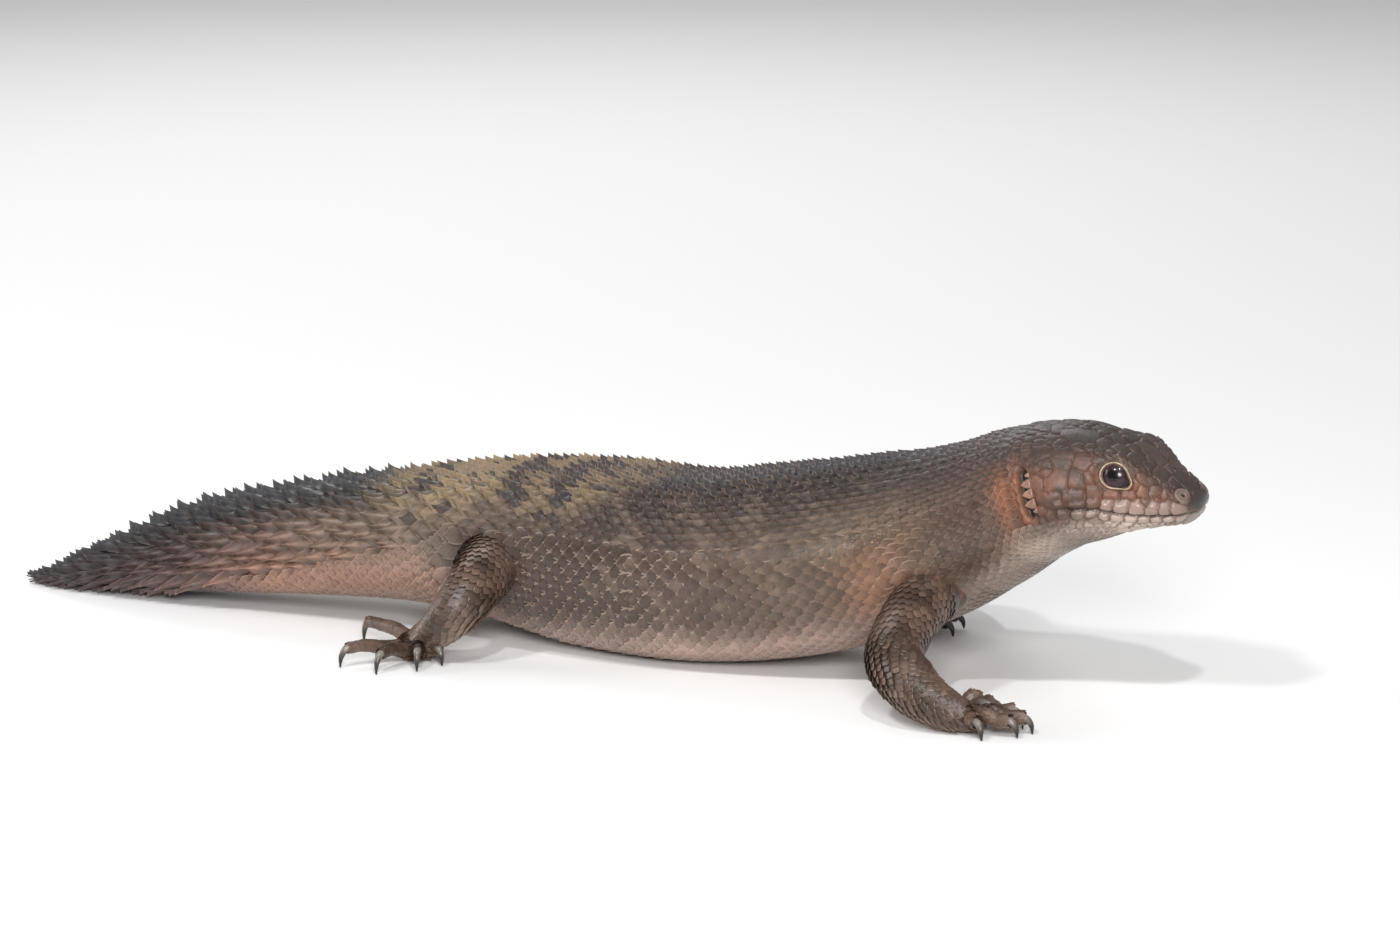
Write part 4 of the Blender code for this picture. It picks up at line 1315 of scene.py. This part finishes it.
back_form = scale_form("back scale form", 9, 8, pointed, keeled)
flank_form = scale_form("flank scale form", 7, 7, rounded, domed)
tail_form = scale_form("tail spine form", 9, 10, spiked, spined)
small_form = scale_form("small scale form", 5, 5, rounded, domed)
forms = (back_form, flank_form, tail_form, small_form)
print("faces of the forms:", [len(form.data.polygons) for form in forms])

# %% [markdown]
# ## Laying scales
#
# Scales sit in rows across the body, each row set half a scale aside from the last, and
# every scale points to the tail or to the toes. Numbers alone say where they go: a lattice
# over the surface function gives roots, facings and lies. A Geometry Nodes tree then sets
# one form on each root, turned to its facing and lie, with a little seeded variation, and
# makes the instances real.

# %% The tree that lays scales
SOCKETS = {
    "Roots": "Geometry", "Form": "Object", "Twist": "Float", "Size variation": "Float",
    "Seed": "Int", "Finish": "Material",
}
VECTOR = {"data_type": "FLOAT_VECTOR"}


def lay_scales_tree():
    tree = bpy.data.node_groups.new("Lay scales", "GeometryNodeTree")
    for name, kind in SOCKETS.items():
        tree.interface.new_socket(name, in_out="INPUT", socket_type="NodeSocket" + kind)
    tree.interface.new_socket("Scales", in_out="OUTPUT", socket_type="NodeSocketGeometry")

    def node(kind, inputs, settings=None, out=0):
        """One output of a new node, whose inputs are values or outputs of other nodes."""
        made = tree.nodes.new(kind)
        for key, value in (settings or {}).items():
            setattr(made, key, value)
        for key, value in inputs.items():
            if isinstance(value, bpy.types.NodeSocket):
                tree.links.new(value, made.inputs[key])
            else:
                made.inputs[key].default_value = value
        return made.outputs[out]

    given = tree.nodes.new("NodeGroupInput").outputs
    form = node("GeometryNodeObjectInfo", {"Object": given["Form"]}, out="Geometry")
    facing, lie, size = (
        node("GeometryNodeInputNamedAttribute", {"Name": name}, VECTOR)
        for name in ("facing", "lie", "size")
    )
    axes = {"primary_axis": "Z", "secondary_axis": "Y"}
    stand = node("FunctionNodeAxesToRotation", {0: facing, 1: lie}, axes)
    ends = {2: -1.0, 3: 1.0, "Seed": given["Seed"]}
    chance = node("FunctionNodeRandomValue", ends, {"data_type": "FLOAT"}, 1)
    twist = node("ShaderNodeMath", {0: chance, 1: given["Twist"]}, {"operation": "MULTIPLY"})
    turn = node("FunctionNodeAxisAngleToRotation", {"Angle": twist})
    turned = node("FunctionNodeRotateRotation", {0: stand, 1: turn}, {"rotation_space": "LOCAL"})
    growth = {0: chance, 1: given["Size variation"], 2: 1.0}
    growth = node("ShaderNodeMath", growth, {"operation": "MULTIPLY_ADD"})
    grown = node("ShaderNodeVectorMath", {0: size, "Scale": growth}, {"operation": "SCALE"})
    laid = node("GeometryNodeInstanceOnPoints", {
        "Points": given["Roots"], "Instance": form, "Rotation": turned, "Scale": grown,
    })
    real = node("GeometryNodeRealizeInstances", {0: laid})
    scales = node("GeometryNodeSetMaterial", {"Geometry": real, "Material": given["Finish"]})
    tree.links.new(scales, tree.nodes.new("NodeGroupOutput").inputs[0])
    return tree


lay_scales = lay_scales_tree()
print("nodes in the tree:", len(lay_scales.nodes))

# %% [markdown]
# ## Using the tree
#
# One function puts the roots into a mesh, gives the tree its inputs, and keeps the result as
# a plain mesh. It also unwraps the scales: each gets a small patch of its own at its root's
# place on the unwrapped hide, so that an image could be painted for all of them at once.

# %% Lay one piece
PATCH = 0.003


def add_bake_map(mesh):
    """Gives each scale a small patch of its own, at its root's place on the unwrapped hide."""
    values = np.empty((2, len(mesh.vertices) * 3), np.float32)
    for row, key in zip(values, ("spot", "local")):
        mesh.attributes[key].data.foreach_get("vector", row)
    spot, local = values.reshape(2, -1, 3)[:, :, :2]
    uv = spot + (local - (0.0, 0.5)) * (PATCH / 2, PATCH)
    loops = np.empty(len(mesh.loops), np.int32)
    mesh.loops.foreach_get("vertex_index", loops)
    layer = mesh.uv_layers.new(name="OFBake")
    layer.data.foreach_set("uv", uv[loops].astype(np.float32).ravel())
    for key in ("facing", "lie", "size", "spot"):
        mesh.attributes.remove(mesh.attributes[key])


def lay(name, roots, form, finish, seed, twist=3.0, variation=0.05):
    """Lays one form on every root, as one plain piece."""
    mesh = bpy.data.meshes.new(name)
    mesh.from_pydata(to_metres(roots["place"]), [], [])
    for key, values in roots.items():
        if key != "place":
            store(mesh, key, values)
    store(mesh, "root", to_metres(roots["place"]))
    obj = bpy.data.objects.new(name, mesh)
    bpy.context.scene.collection.objects.link(obj)
    change = obj.modifiers.new("Lay scales", "NODES")
    change.node_group = lay_scales
    settings = {
        "Form": form, "Twist": math.radians(twist), "Size variation": variation,
        "Seed": seed, "Finish": finish,
    }
    for item in lay_scales.interface.items_tree:
        if item.name in settings and item.in_out == "INPUT":
            change[item.identifier] = settings[item.name]
    apply_modifier(obj, change)
    add_bake_map(obj.data)
    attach(obj, "root")
    triangles = sum(len(p.vertices) - 2 for p in obj.data.polygons)
    print(name, len(roots["place"]), "scales,", triangles, "triangles")


# %% [markdown]
# ## Rows of scales
#
# The table gives, along the body, how much of a scale shows before the next one of its row
# begins, and how many rows run along the body there. The trunk has about forty rows of small
# scales. They become fewer and larger over the hips, and the tail wears rings of large spines.

# %% Rows of scales along the body
# behind the snout, shown length, rows round the body, rise of the tips on the back
BODY_ROWS = np.array((
    (13.0, 1.7, 42, 0.6),
    (36.0, 2.1, 44, 0.8),
    (48.0, 2.8, 42, 1.1),
    (62.0, 3.7, 42, 2.0),
    (100.0, 3.6, 42, 2.0),
    (138.0, 3.2, 40, 1.9),
    (156.0, 3.6, 36, 2.1),
    (172.0, 4.3, 28, 2.2),
    (186.0, 4.9, 22, 2.6),
    (205.0, 5.5, 18, 2.9),
    (235.0, 5.8, 18, 2.9),
    (255.0, 5.2, 14, 2.2),
    (268.0, 4.0, 10, 1.4),
    (275.0, 2.6, 8, 0.8),
))
OVERLAP, WIDER = 1.5, 1.04
TAIL_START = 176.0
# Under the tail the scales are small and smooth, between these distances, and so much finer.
SMOOTH_START, SMOOTH_END, FINER = 166.0, 246.0, 1.8
print("rows round the trunk:", BODY_ROWS[:, 2].max(), "and at the tail's end:", BODY_ROWS[-1, 2])

# %% [markdown]
# ## Roots
#
# Every scale starts as one point, its root, which carries what the scale needs: which way it
# faces and lies, how large it is, where it sits on the unwrapped hide, and the values that the
# markings read. They could be worked out in the tree too, but arrays are easier to check.

# %% Work out the roots


def lattice(surface, start, end, shown_at, rows_at, per_unit=1.0):
    """Staggered places over a surface: u, degrees, width, shown length and odd or even row."""
    ring = np.linspace(0, 180, 121)
    made = []
    u, row = start, 0
    while u < end:
        shown = shown_at(u)
        arc = path_length(surface(u, ring))
        count = max(4, 2 * round(rows_at(u, 2 * arc[-1]) / 2))
        width = 2 * arc[-1] / count
        for k in range(-count // 2, count // 2):
            at = (k + 0.5 * (row % 2)) * width
            degrees = np.sign(at) * np.interp(abs(at), arc, ring)
            made.append((u, degrees, width, shown, row % 2))
        u += shown / 2 / per_unit
        row += 1
    return np.array(made)


def roots_on(surface, places, step, depth, rise, cell, limb):
    """Roots of scales at places on a surface, with all the values that they carry."""
    u, degrees, width, shown, _ = places.T
    place = surface(u, degrees, -depth, FLOOR_GAP)
    out = facing(surface, u, degrees)
    out[place[:, 2] <= FLOOR_GAP] = (0, 0, -1)
    lie = surface(u + step, degrees, 0.0) - surface(u - step, degrees, 0.0)
    lie = unit(lie - out * (lie * out).sum(-1, keepdims=True))
    # Scales near the floor lie flatter, narrower and lower, so that none goes deep into it.
    room = np.maximum(place[:, 2] - 0.05, 0.1)
    lie[:, 2] = np.maximum(lie[:, 2], -0.4 * room / (shown * OVERLAP))
    lie = unit(lie)
    across = np.abs(np.cross(out, lie)[:, 2])
    width = np.minimum(width, room / np.maximum(across, 0.02))
    rise = np.minimum(rise, 0.5 * room / np.maximum(-out[:, 2], 0.02))
    rise = np.minimum(rise, 1.7 * room / np.maximum(out[:, 2], 0.02))
    left, low, wide, high = cell
    share = (u - u.min()) / max(1e-6, u.max() - u.min())
    return {
        "place": place, "facing": out, "lie": lie,
        "size": np.stack([width * WIDER, shown * OVERLAP, rise], -1) * MM,
        "spot": np.stack([left + wide * (degrees / 360 + 0.5), low + high * share, 0 * u], -1),
        "under": np.abs(degrees) / 180, "along": u * (100 if limb else 1),
        "limb": np.full(len(u), float(limb)),
    }


def choose(roots, keep):
    return {key: values[keep] for key, values in roots.items()}


def on_the_skin(roots, depth):
    """The roots that lie on the joined skin and not inside it."""
    tree = BVHTree.FromObject(skin, bpy.context.evaluated_depsgraph_get())
    keep = []
    for place, out in zip(to_metres(roots["place"]), roots["facing"]):
        start = Vector(place) + Vector(out) * depth
        hit = tree.find_nearest(start)
        keep.append((start - hit[0]).dot(hit[1]) >= 0)
    return choose(roots, np.array(keep))


def body_row(column, u):
    """A column of the table of rows at a distance behind the snout."""
    return np.interp(u, BODY_ROWS[:, 0], BODY_ROWS[:, column])


def tail_edge(distance):
    """How far down the side the tail's spines reach."""
    return np.interp(distance, (SMOOTH_START, 200.0, 225.0, 245.0), (0.42, 0.50, 0.60, 1.1))


def is_smooth(u, under):
    return (u > SMOOTH_START) & (under > tail_edge(u))


def under_of(places):
    return np.abs(places[:, 1]) / 180


# %% [markdown]
# ## Scales of the body
#
# The trunk and the tail's spines come from one lattice, the smooth scales under the tail from a
# finer one. The tips rise most on the back and lie flat on the flank. Every second row high on
# the back lies lower, so that the outline shows single teeth as the photograph does.

# %% Roots on the body
coarse = lattice(
    body_at, 13.0, LENGTH - 2.0, lambda u: body_row(1, u), lambda u, around: body_row(2, u)
)
coarse = coarse[covered(coarse[:, 0], coarse[:, 1]) > 0.5]
coarse = coarse[~is_smooth(coarse[:, 0], under_of(coarse))]
fine = lattice(
    body_at, SMOOTH_START, SMOOTH_END,
    lambda u: body_row(1, u) / FINER, lambda u, around: body_row(2, u) * FINER,
)
fine = fine[is_smooth(fine[:, 0], under_of(fine))]
places = np.concatenate([coarse, fine])
u, under = places[:, 0], under_of(places)
on_tail = u > TAIL_START
high = 1 - smooth(np.abs(places[:, 1]), 30.0, 50.0)
rise = body_row(3, u) * (1 - 0.42 * high * (places[:, 4] == 0))
low_rise = np.interp(u, (13.0, 40.0, 70.0, 240.0), (0.55, 0.75, 1.05, 1.0))
low_rise = low_rise * (1 - 0.35 * smooth(under, 0.6, 0.85))
low_rise = low_rise * (1 - 0.45 * smooth(u, 160.0, 180.0))
drop = np.where(on_tail, is_smooth(u, under), smooth(under, 0.12, 0.42))
rise = rise * (1 - drop) + low_rise * drop
# The spines along the tail's lower edge lie flat against it.
rise = rise * (1 - 0.6 * on_tail * smooth(under, 0.48, 0.62))
body_roots = roots_on(body_at, places, 0.5, SKIN_DEPTH - 0.1, rise, (0, 0, 1, 1), False)
body_roots = on_the_skin(body_roots, 0.9 * MM)
under, along = body_roots["under"], body_roots["along"]
spiny = np.where(along > SMOOTH_START, under < tail_edge(along), under < 0.40)
print(len(under), "scales on the body,", int(spiny.sum()), "of them keeled or spiny")

# %% [markdown]
# ## Scales of the limbs
#
# Legs, palms and toes each have a lattice of their own along their tube, with smaller scales
# towards the toes. Each tube gets a cell of its own on the unwrapped hide.

# %% Roots on the limbs
# shown length, width, share of the tube where they begin, rise of the tips
LIMB_SCALES = {
    "leg": (2.0, 1.75, 0.12, 0.40),
    "palm": (1.5, 1.3, 0.02, 0.28),
    "toe": (1.15, 1.1, 0.10, 0.22),
}
LIMB_END = 0.985
TUBES_PER_LIMB = 7
limb_groups = {"front": [], "hind": [], "foot": []}
for number, (name, surface) in enumerate(surfaces.items()):
    part = name.split()[1]
    limb, piece = divmod(number, TUBES_PER_LIMB)
    shown, wide, start, rise = LIMB_SCALES[part]
    cell = (0.12 * piece, 0.25 * limb, 0.11, 0.24)
    if part == "leg":
        cell = (0.25 * limb, 0.0, 0.24, 1.0)
    rows = np.array(tubes[name])
    length = path_length(through(rows, np.linspace(0, len(rows) - 1, 100))[:, :3])[-1]
    places = lattice(
        surface, start, LIMB_END, lambda u: shown, lambda u, around: around / wide, length
    )
    roots = roots_on(surface, places, 0.01, 0.22, rise, cell, True)
    group = name.split("_")[0] if part == "leg" else "foot"
    limb_groups[group].append(on_the_skin(roots, 0.45 * MM))
limb_roots = {
    group: {key: np.concatenate([roots[key] for roots in found]) for key in found[0]}
    for group, found in limb_groups.items()
}
print({group: len(roots["under"]) for group, roots in limb_roots.items()}, "scales on the limbs")

# %% [markdown]
# ## Finish of the scales
#
# The scales' own finish adds to the markings a pale free edge, partly the scales' own and
# partly a painted highlight where it catches the light. It adds a painted highlight on the
# keel, fine streaks along the keel, and painted shade at each scale's rooted front. It also
# gives a gloss that is stronger on the flanks, where the real ones shine as if wet.

# %% Finish of the scales


def scale_finish(name, edge, streaks, roughness, gloss, keel=0.0, margin=0.0, shadow=0.4):
    """A scale's material, from how strong its edge, streaks, keel and pale margin show.
    The edge and margin are partly painted highlight, the keel's lightening is a painted
    highlight, and shadow is the painted shade at each scale's root.
    """
    made, pen = new_material(name)
    local, place, along = pen.vector("local"), pen.place(), pen.number("along")
    shade = pen.vector("root").noise(2100.0, 0.0)
    lines = local.stretch(9.0, 1.2, 0.0).noise(1.6, 3.0)
    speckle = place.noise(1500.0, 3.0)
    border = local.axis(2)
    # Painted shade: each scale is darker at its rooted front, where the scale before lies over it.
    bright = 0.70 + shade * 0.5 - local.axis(1).between(0.70, 0.3) * shadow
    # The pale free edge is partly the scale's own colour and partly a painted highlight where the
    # edge catches the light.
    bright = bright + border.between(0.84, 0.98) * edge + (lines - 0.5) * streaks
    # Painted highlight: the middle of the keel is lighter, as if light catches its ridge.
    bright = bright + (speckle - 0.5) * 0.5 + local.axis(0).near(0.0, 0.4) * keel
    # The pale margin is partly the scales' own pale rim and partly a painted highlight on the free
    # edge.
    rim = border.between(0.74, 0.94) * shade.between(0.1, 0.4)
    rim = rim * (0.3 + 0.7 * along.between(45.0, 80.0) * along.between(160.0, 135.0))
    colour = (rim * margin).mix(markings(pen).times(bright), "#b09987")
    # The scales of the shoulder glint as if wet, from many small uneven facets.
    wet = along.near(82.0, 34.0) * pen.number("under").near(0.38, 0.2)
    wet = wet * (1 - pen.number("limb"))
    height = (lines * 0.6 + place.noise(3000.0, 2.0) * 0.4) * (1 + wet * 7.0)
    bump = pen.add("Bump", None, {"Strength": 0.3, "Distance": 0.00015, "Height": height})
    connect(pen, {
        "Base Color": colour, "Normal": bump, "Specular IOR Level": gloss,
        "Roughness": roughness + speckle * 0.15 - wet * 0.24,
    })
    return made


back_finish = scale_finish("keeled back scales", 0.5, 0.9, 0.34, 0.4, keel=0.3, margin=0.3)
flank_finish = scale_finish("glossy flank scales", 0.4, 0.6, 0.2, 0.5, margin=0.45)
tail_finish = scale_finish("tail spines", 0.5, 1.2, 0.3, 0.5, keel=0.5, margin=0.2)
limb_finish = scale_finish("leg scales", 0.2, 0.5, 0.26, 0.5, shadow=0.22)
print("finishes for the back, the flanks, the tail and the limbs")

# %% [markdown]
# ## Laying them
#
# The scales are laid as one piece for each part of the animal. The flanks are two pieces, left
# and right, so that neither is heavy. The seeds are fixed, so that every run gives the same.

# %% Lay the scales
tail, left = along > TAIL_START, body_roots["spot"][:, 0] > 0.5
lay("back_scales", choose(body_roots, spiny & ~tail), back_form, back_finish, 3)
lay("tail_spines", choose(body_roots, spiny & tail), tail_form, tail_finish, 5, 7.0, 0.12)
lay("flank_scales_left", choose(body_roots, ~spiny & left), flank_form, flank_finish, 7)
lay("flank_scales_right", choose(body_roots, ~spiny & ~left), flank_form, flank_finish, 8)
lay("front_leg_scales", limb_roots["front"], small_form, limb_finish, 11, 8.0, 0.1)
lay("hind_leg_scales", limb_roots["hind"], small_form, limb_finish, 13, 8.0, 0.1)
lay("foot_scales", limb_roots["foot"], small_form, limb_finish, 17, 6.0, 0.08)
for form in forms:
    bpy.data.objects.remove(form)

# %% [markdown]
# ## Claws
#
# The claws are smooth horn, deep and flattened from side to side, and strongly hooked. Each
# is a tapering tube along the solid model's claw, with far more rings.

# %% Make the claws


def together(parts):
    """Points and faces of several closed forms as one."""
    points, faces, base = [], [], 0
    for made, sides in parts:
        points.append(made)
        faces += [tuple(base + i for i in side) for side in sides]
        base += len(made)
    return np.concatenate(points), faces


CLAW_ANGLES, CLAW_RINGS = np.arange(16) * 22.5, np.linspace(0, 1, 18)
horn, pen = new_material("claw horn")
streak = pen.place().noise(1200.0, 2.0)
worn = (pen.number("share") + (streak - 0.5) * 0.3).between(0.1, 0.8)
colour = worn.mix("#857b74", "#231f1e")
connect(pen, {"Base Color": colour, "Roughness": 0.22 + streak * 0.1})
parts = []
for rows in claws.values():
    surface = tube_at(rows)
    parts.append(tube_mesh([surface(share, CLAW_ANGLES) for share in CLAW_RINGS]))
share = np.concatenate([np.repeat(CLAW_RINGS, len(CLAW_ANGLES)), [0.0, 1.0]])
share = {"share": np.tile(share, len(claws))}
claw_piece = make_object("claws", *together(parts), horn, share)
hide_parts(*claws)
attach(claw_piece, "root")
print(len(claws), "claws")

# %% [markdown]
# ## Eyes
#
# The eye is dark: a round black pupil in a purple-brown iris, under a clear wet surface. The
# ball is a fine sphere whose material reads how far each vertex is from the way it looks.

# %% Finish and form of the eyes
eye_finish, pen = new_material("wet dark eye")
gaze = pen.number("gaze")
iris = pen.place().noise(2500.0, 3.0).between(0.35, 0.7).mix("#22141a", "#3d252c")
colour = gaze.between(16.0, 20.5).mix("#040304", iris)
colour = gaze.between(33.0, 42.0).mix(colour, "#150d10")
connect(pen, {
    "Base Color": colour, "Roughness": 0.25, "Specular IOR Level": 0.2,
    "Coat Weight": 0.4, "Coat Roughness": 0.02,
})


def make_eyeball(name, sign):
    """A fine sphere in place of one of the solid model's eyes."""
    middle, forward, up, out = eye_frame(sign)
    form = bmesh.new()
    bmesh.ops.create_uvsphere(form, u_segments=64, v_segments=40, radius=1.0)
    ball = np.array([v.co for v in form.verts])
    faces = [[v.index for v in f.verts] for f in form.faces]
    form.free()
    points = middle + EYE_RADIUS * (ball @ np.array([forward, up, out]))
    from_gaze = np.degrees(np.arccos(np.clip(ball[:, 2], -1, 1)))
    eye = make_object(f"eyeball_{name}", points, faces, eye_finish, {"gaze": from_gaze})
    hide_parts(f"eye_{name}")
    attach(eye, "root")
    print("eyeball", name, "of radius", EYE_RADIUS, "mm")

# %% [markdown]
# ## Rims of the lids
#
# The lids' pale rim looks like a string of small beads, laid along an oval with a point in
# front. A thin tube is led along the opening, as high as the skin stands there, and swells
# and narrows forty times on its way round. Then each side gets its eyeball and its rim.

# %% Make the eyes and their rims
STEPS, SIDES_OF_TUBE, BEADS = 240, 8, 40
RIM_RADIUS, BEAD_HEIGHT, RIM_OVER = 0.17, 0.018, 0.12


def cloudy_finish(name, scale, detail, first, second, roughness):
    """A material with soft clouds of two colours."""
    made, pen = new_material(name)
    colour = pen.place().noise(scale, detail).between(0.3, 0.7).mix(first, second)
    connect(pen, {"Base Color": colour, "Roughness": roughness})
    return made


rim_finish = cloudy_finish("pale rim of the lids", 2200.0, 2.0, "#b8a88a", "#85725b", 0.4)
skin_tree = BVHTree.FromObject(skin, bpy.context.evaluated_depsgraph_get())


def rim_path(middle, forward, up, out):
    """Directions round the opening, and how far out and how high the rim runs in each."""
    rays, reaches, rises = [], [], []
    for turn in 2 * math.pi * np.arange(STEPS) / STEPS:
        oval = math.hypot(math.cos(turn) / LID_LONG, math.sin(turn) / LID_HIGH)
        reach = float(eye_corner(turn)) * 1.05 / oval
        ray = math.cos(turn) * forward + math.sin(turn) * up
        seat = middle + ray * (reach + RIM_OVER)
        hit = skin_tree.ray_cast(Vector(to_metres(seat + out * 9)), Vector(-out))[0]
        over_skin = (np.array(hit) / MM + ORIGIN - seat) @ out
        over_ball = math.sqrt(EYE_RADIUS**2 - min(reach, 3.4) ** 2) + RIM_OVER
        rays.append(ray)
        reaches.append(reach)
        rises.append(max(over_skin, over_ball))
    rises = np.array(rises)
    for _ in range(4):
        rises = (np.roll(rises, 1) + rises + np.roll(rises, -1)) / 3
    return rays, reaches, rises


def make_rim(name, sign):
    """A closed ring of beads round the opening of the lids."""
    middle, forward, up, out = eye_frame(sign)
    rays, reaches, rises = rim_path(middle, forward, up, out)
    points, faces, last = [], [], STEPS * SIDES_OF_TUBE
    for i in range(STEPS):
        centre = middle + out * (rises[i] + 0.05) + reaches[i] * rays[i]
        radius = RIM_RADIUS + BEAD_HEIGHT * math.cos(BEADS * 2 * math.pi * i / STEPS)
        for j in range(SIDES_OF_TUBE):
            b = 2 * math.pi * j / SIDES_OF_TUBE
            points.append(centre + radius * (math.cos(b) * rays[i] + math.sin(b) * out * 1.3))
            k, n = i * SIDES_OF_TUBE + j, i * SIDES_OF_TUBE + (j + 1) % SIDES_OF_TUBE
            faces.append((k, n, (n + SIDES_OF_TUBE) % last, (k + SIDES_OF_TUBE) % last))
    rim = make_object(f"lid_rim_{name}", points, faces, rim_finish)
    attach(rim, "root")
    print("rim", name, "with", BEADS, "beads")


for name, sign in (("left", 1), ("right", -1)):
    make_eyeball(name, sign)
    make_rim(name, sign)

# %% [markdown]
# ## Ear lobules
#
# Pointed scales stand back over the ear's opening from its front edge, three large ones and
# a small one at each end. Each is a small closed wedge.

# %% Make the lobules
# share down the ear's slit, and size
LOBULES = ((0.06, 0.45), (0.27, 0.95), (0.52, 1.0), (0.78, 1.0), (0.97, 0.45))
LOBULE_WAY = np.array([1.0, -0.1, 0.32])
LOBULE_LENGTH, LOBULE_WIDTH, LOBULE_THICKNESS = 2.5, 1.15, 0.42


def lobule(share, size, sign):
    """Points and faces of one lobule, from its root in front to its point behind."""
    u, angle = ear_place(share, sign)
    out = facing(body_at, np.array(u), np.array(angle))
    forward = unit(LOBULE_WAY - out * (out @ LOBULE_WAY))
    up = np.cross(out, forward) * sign
    turn = np.arange(10) * 2 * math.pi / 10
    rings = []
    for step in np.linspace(0, 1, 7):
        over = -0.25 + 0.25 * math.sin(step * 2.6)
        centre = body_at(u, angle) + forward * (1.7 - LOBULE_LENGTH * size * step) + out * over
        wide = LOBULE_WIDTH * size * (1 - step**1.7) + 0.05
        thick = LOBULE_THICKNESS * size * (1 - 0.8 * step) + 0.03
        side = np.outer(np.cos(turn) * wide, up)
        rings.append(centre + side + np.outer(np.sin(turn) * thick, out))
    return tube_mesh(rings)


lobule_finish = cloudy_finish("ear lobules", 1100.0, 3.0, "#8f6c5a", "#6b4d40", 0.35)
parts = [lobule(share, size, sign) for sign in (1, -1) for share, size in LOBULES]
lobules = make_object("ear_lobules", *together(parts), lobule_finish)
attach(lobules, "root")
print(len(parts), "lobules")
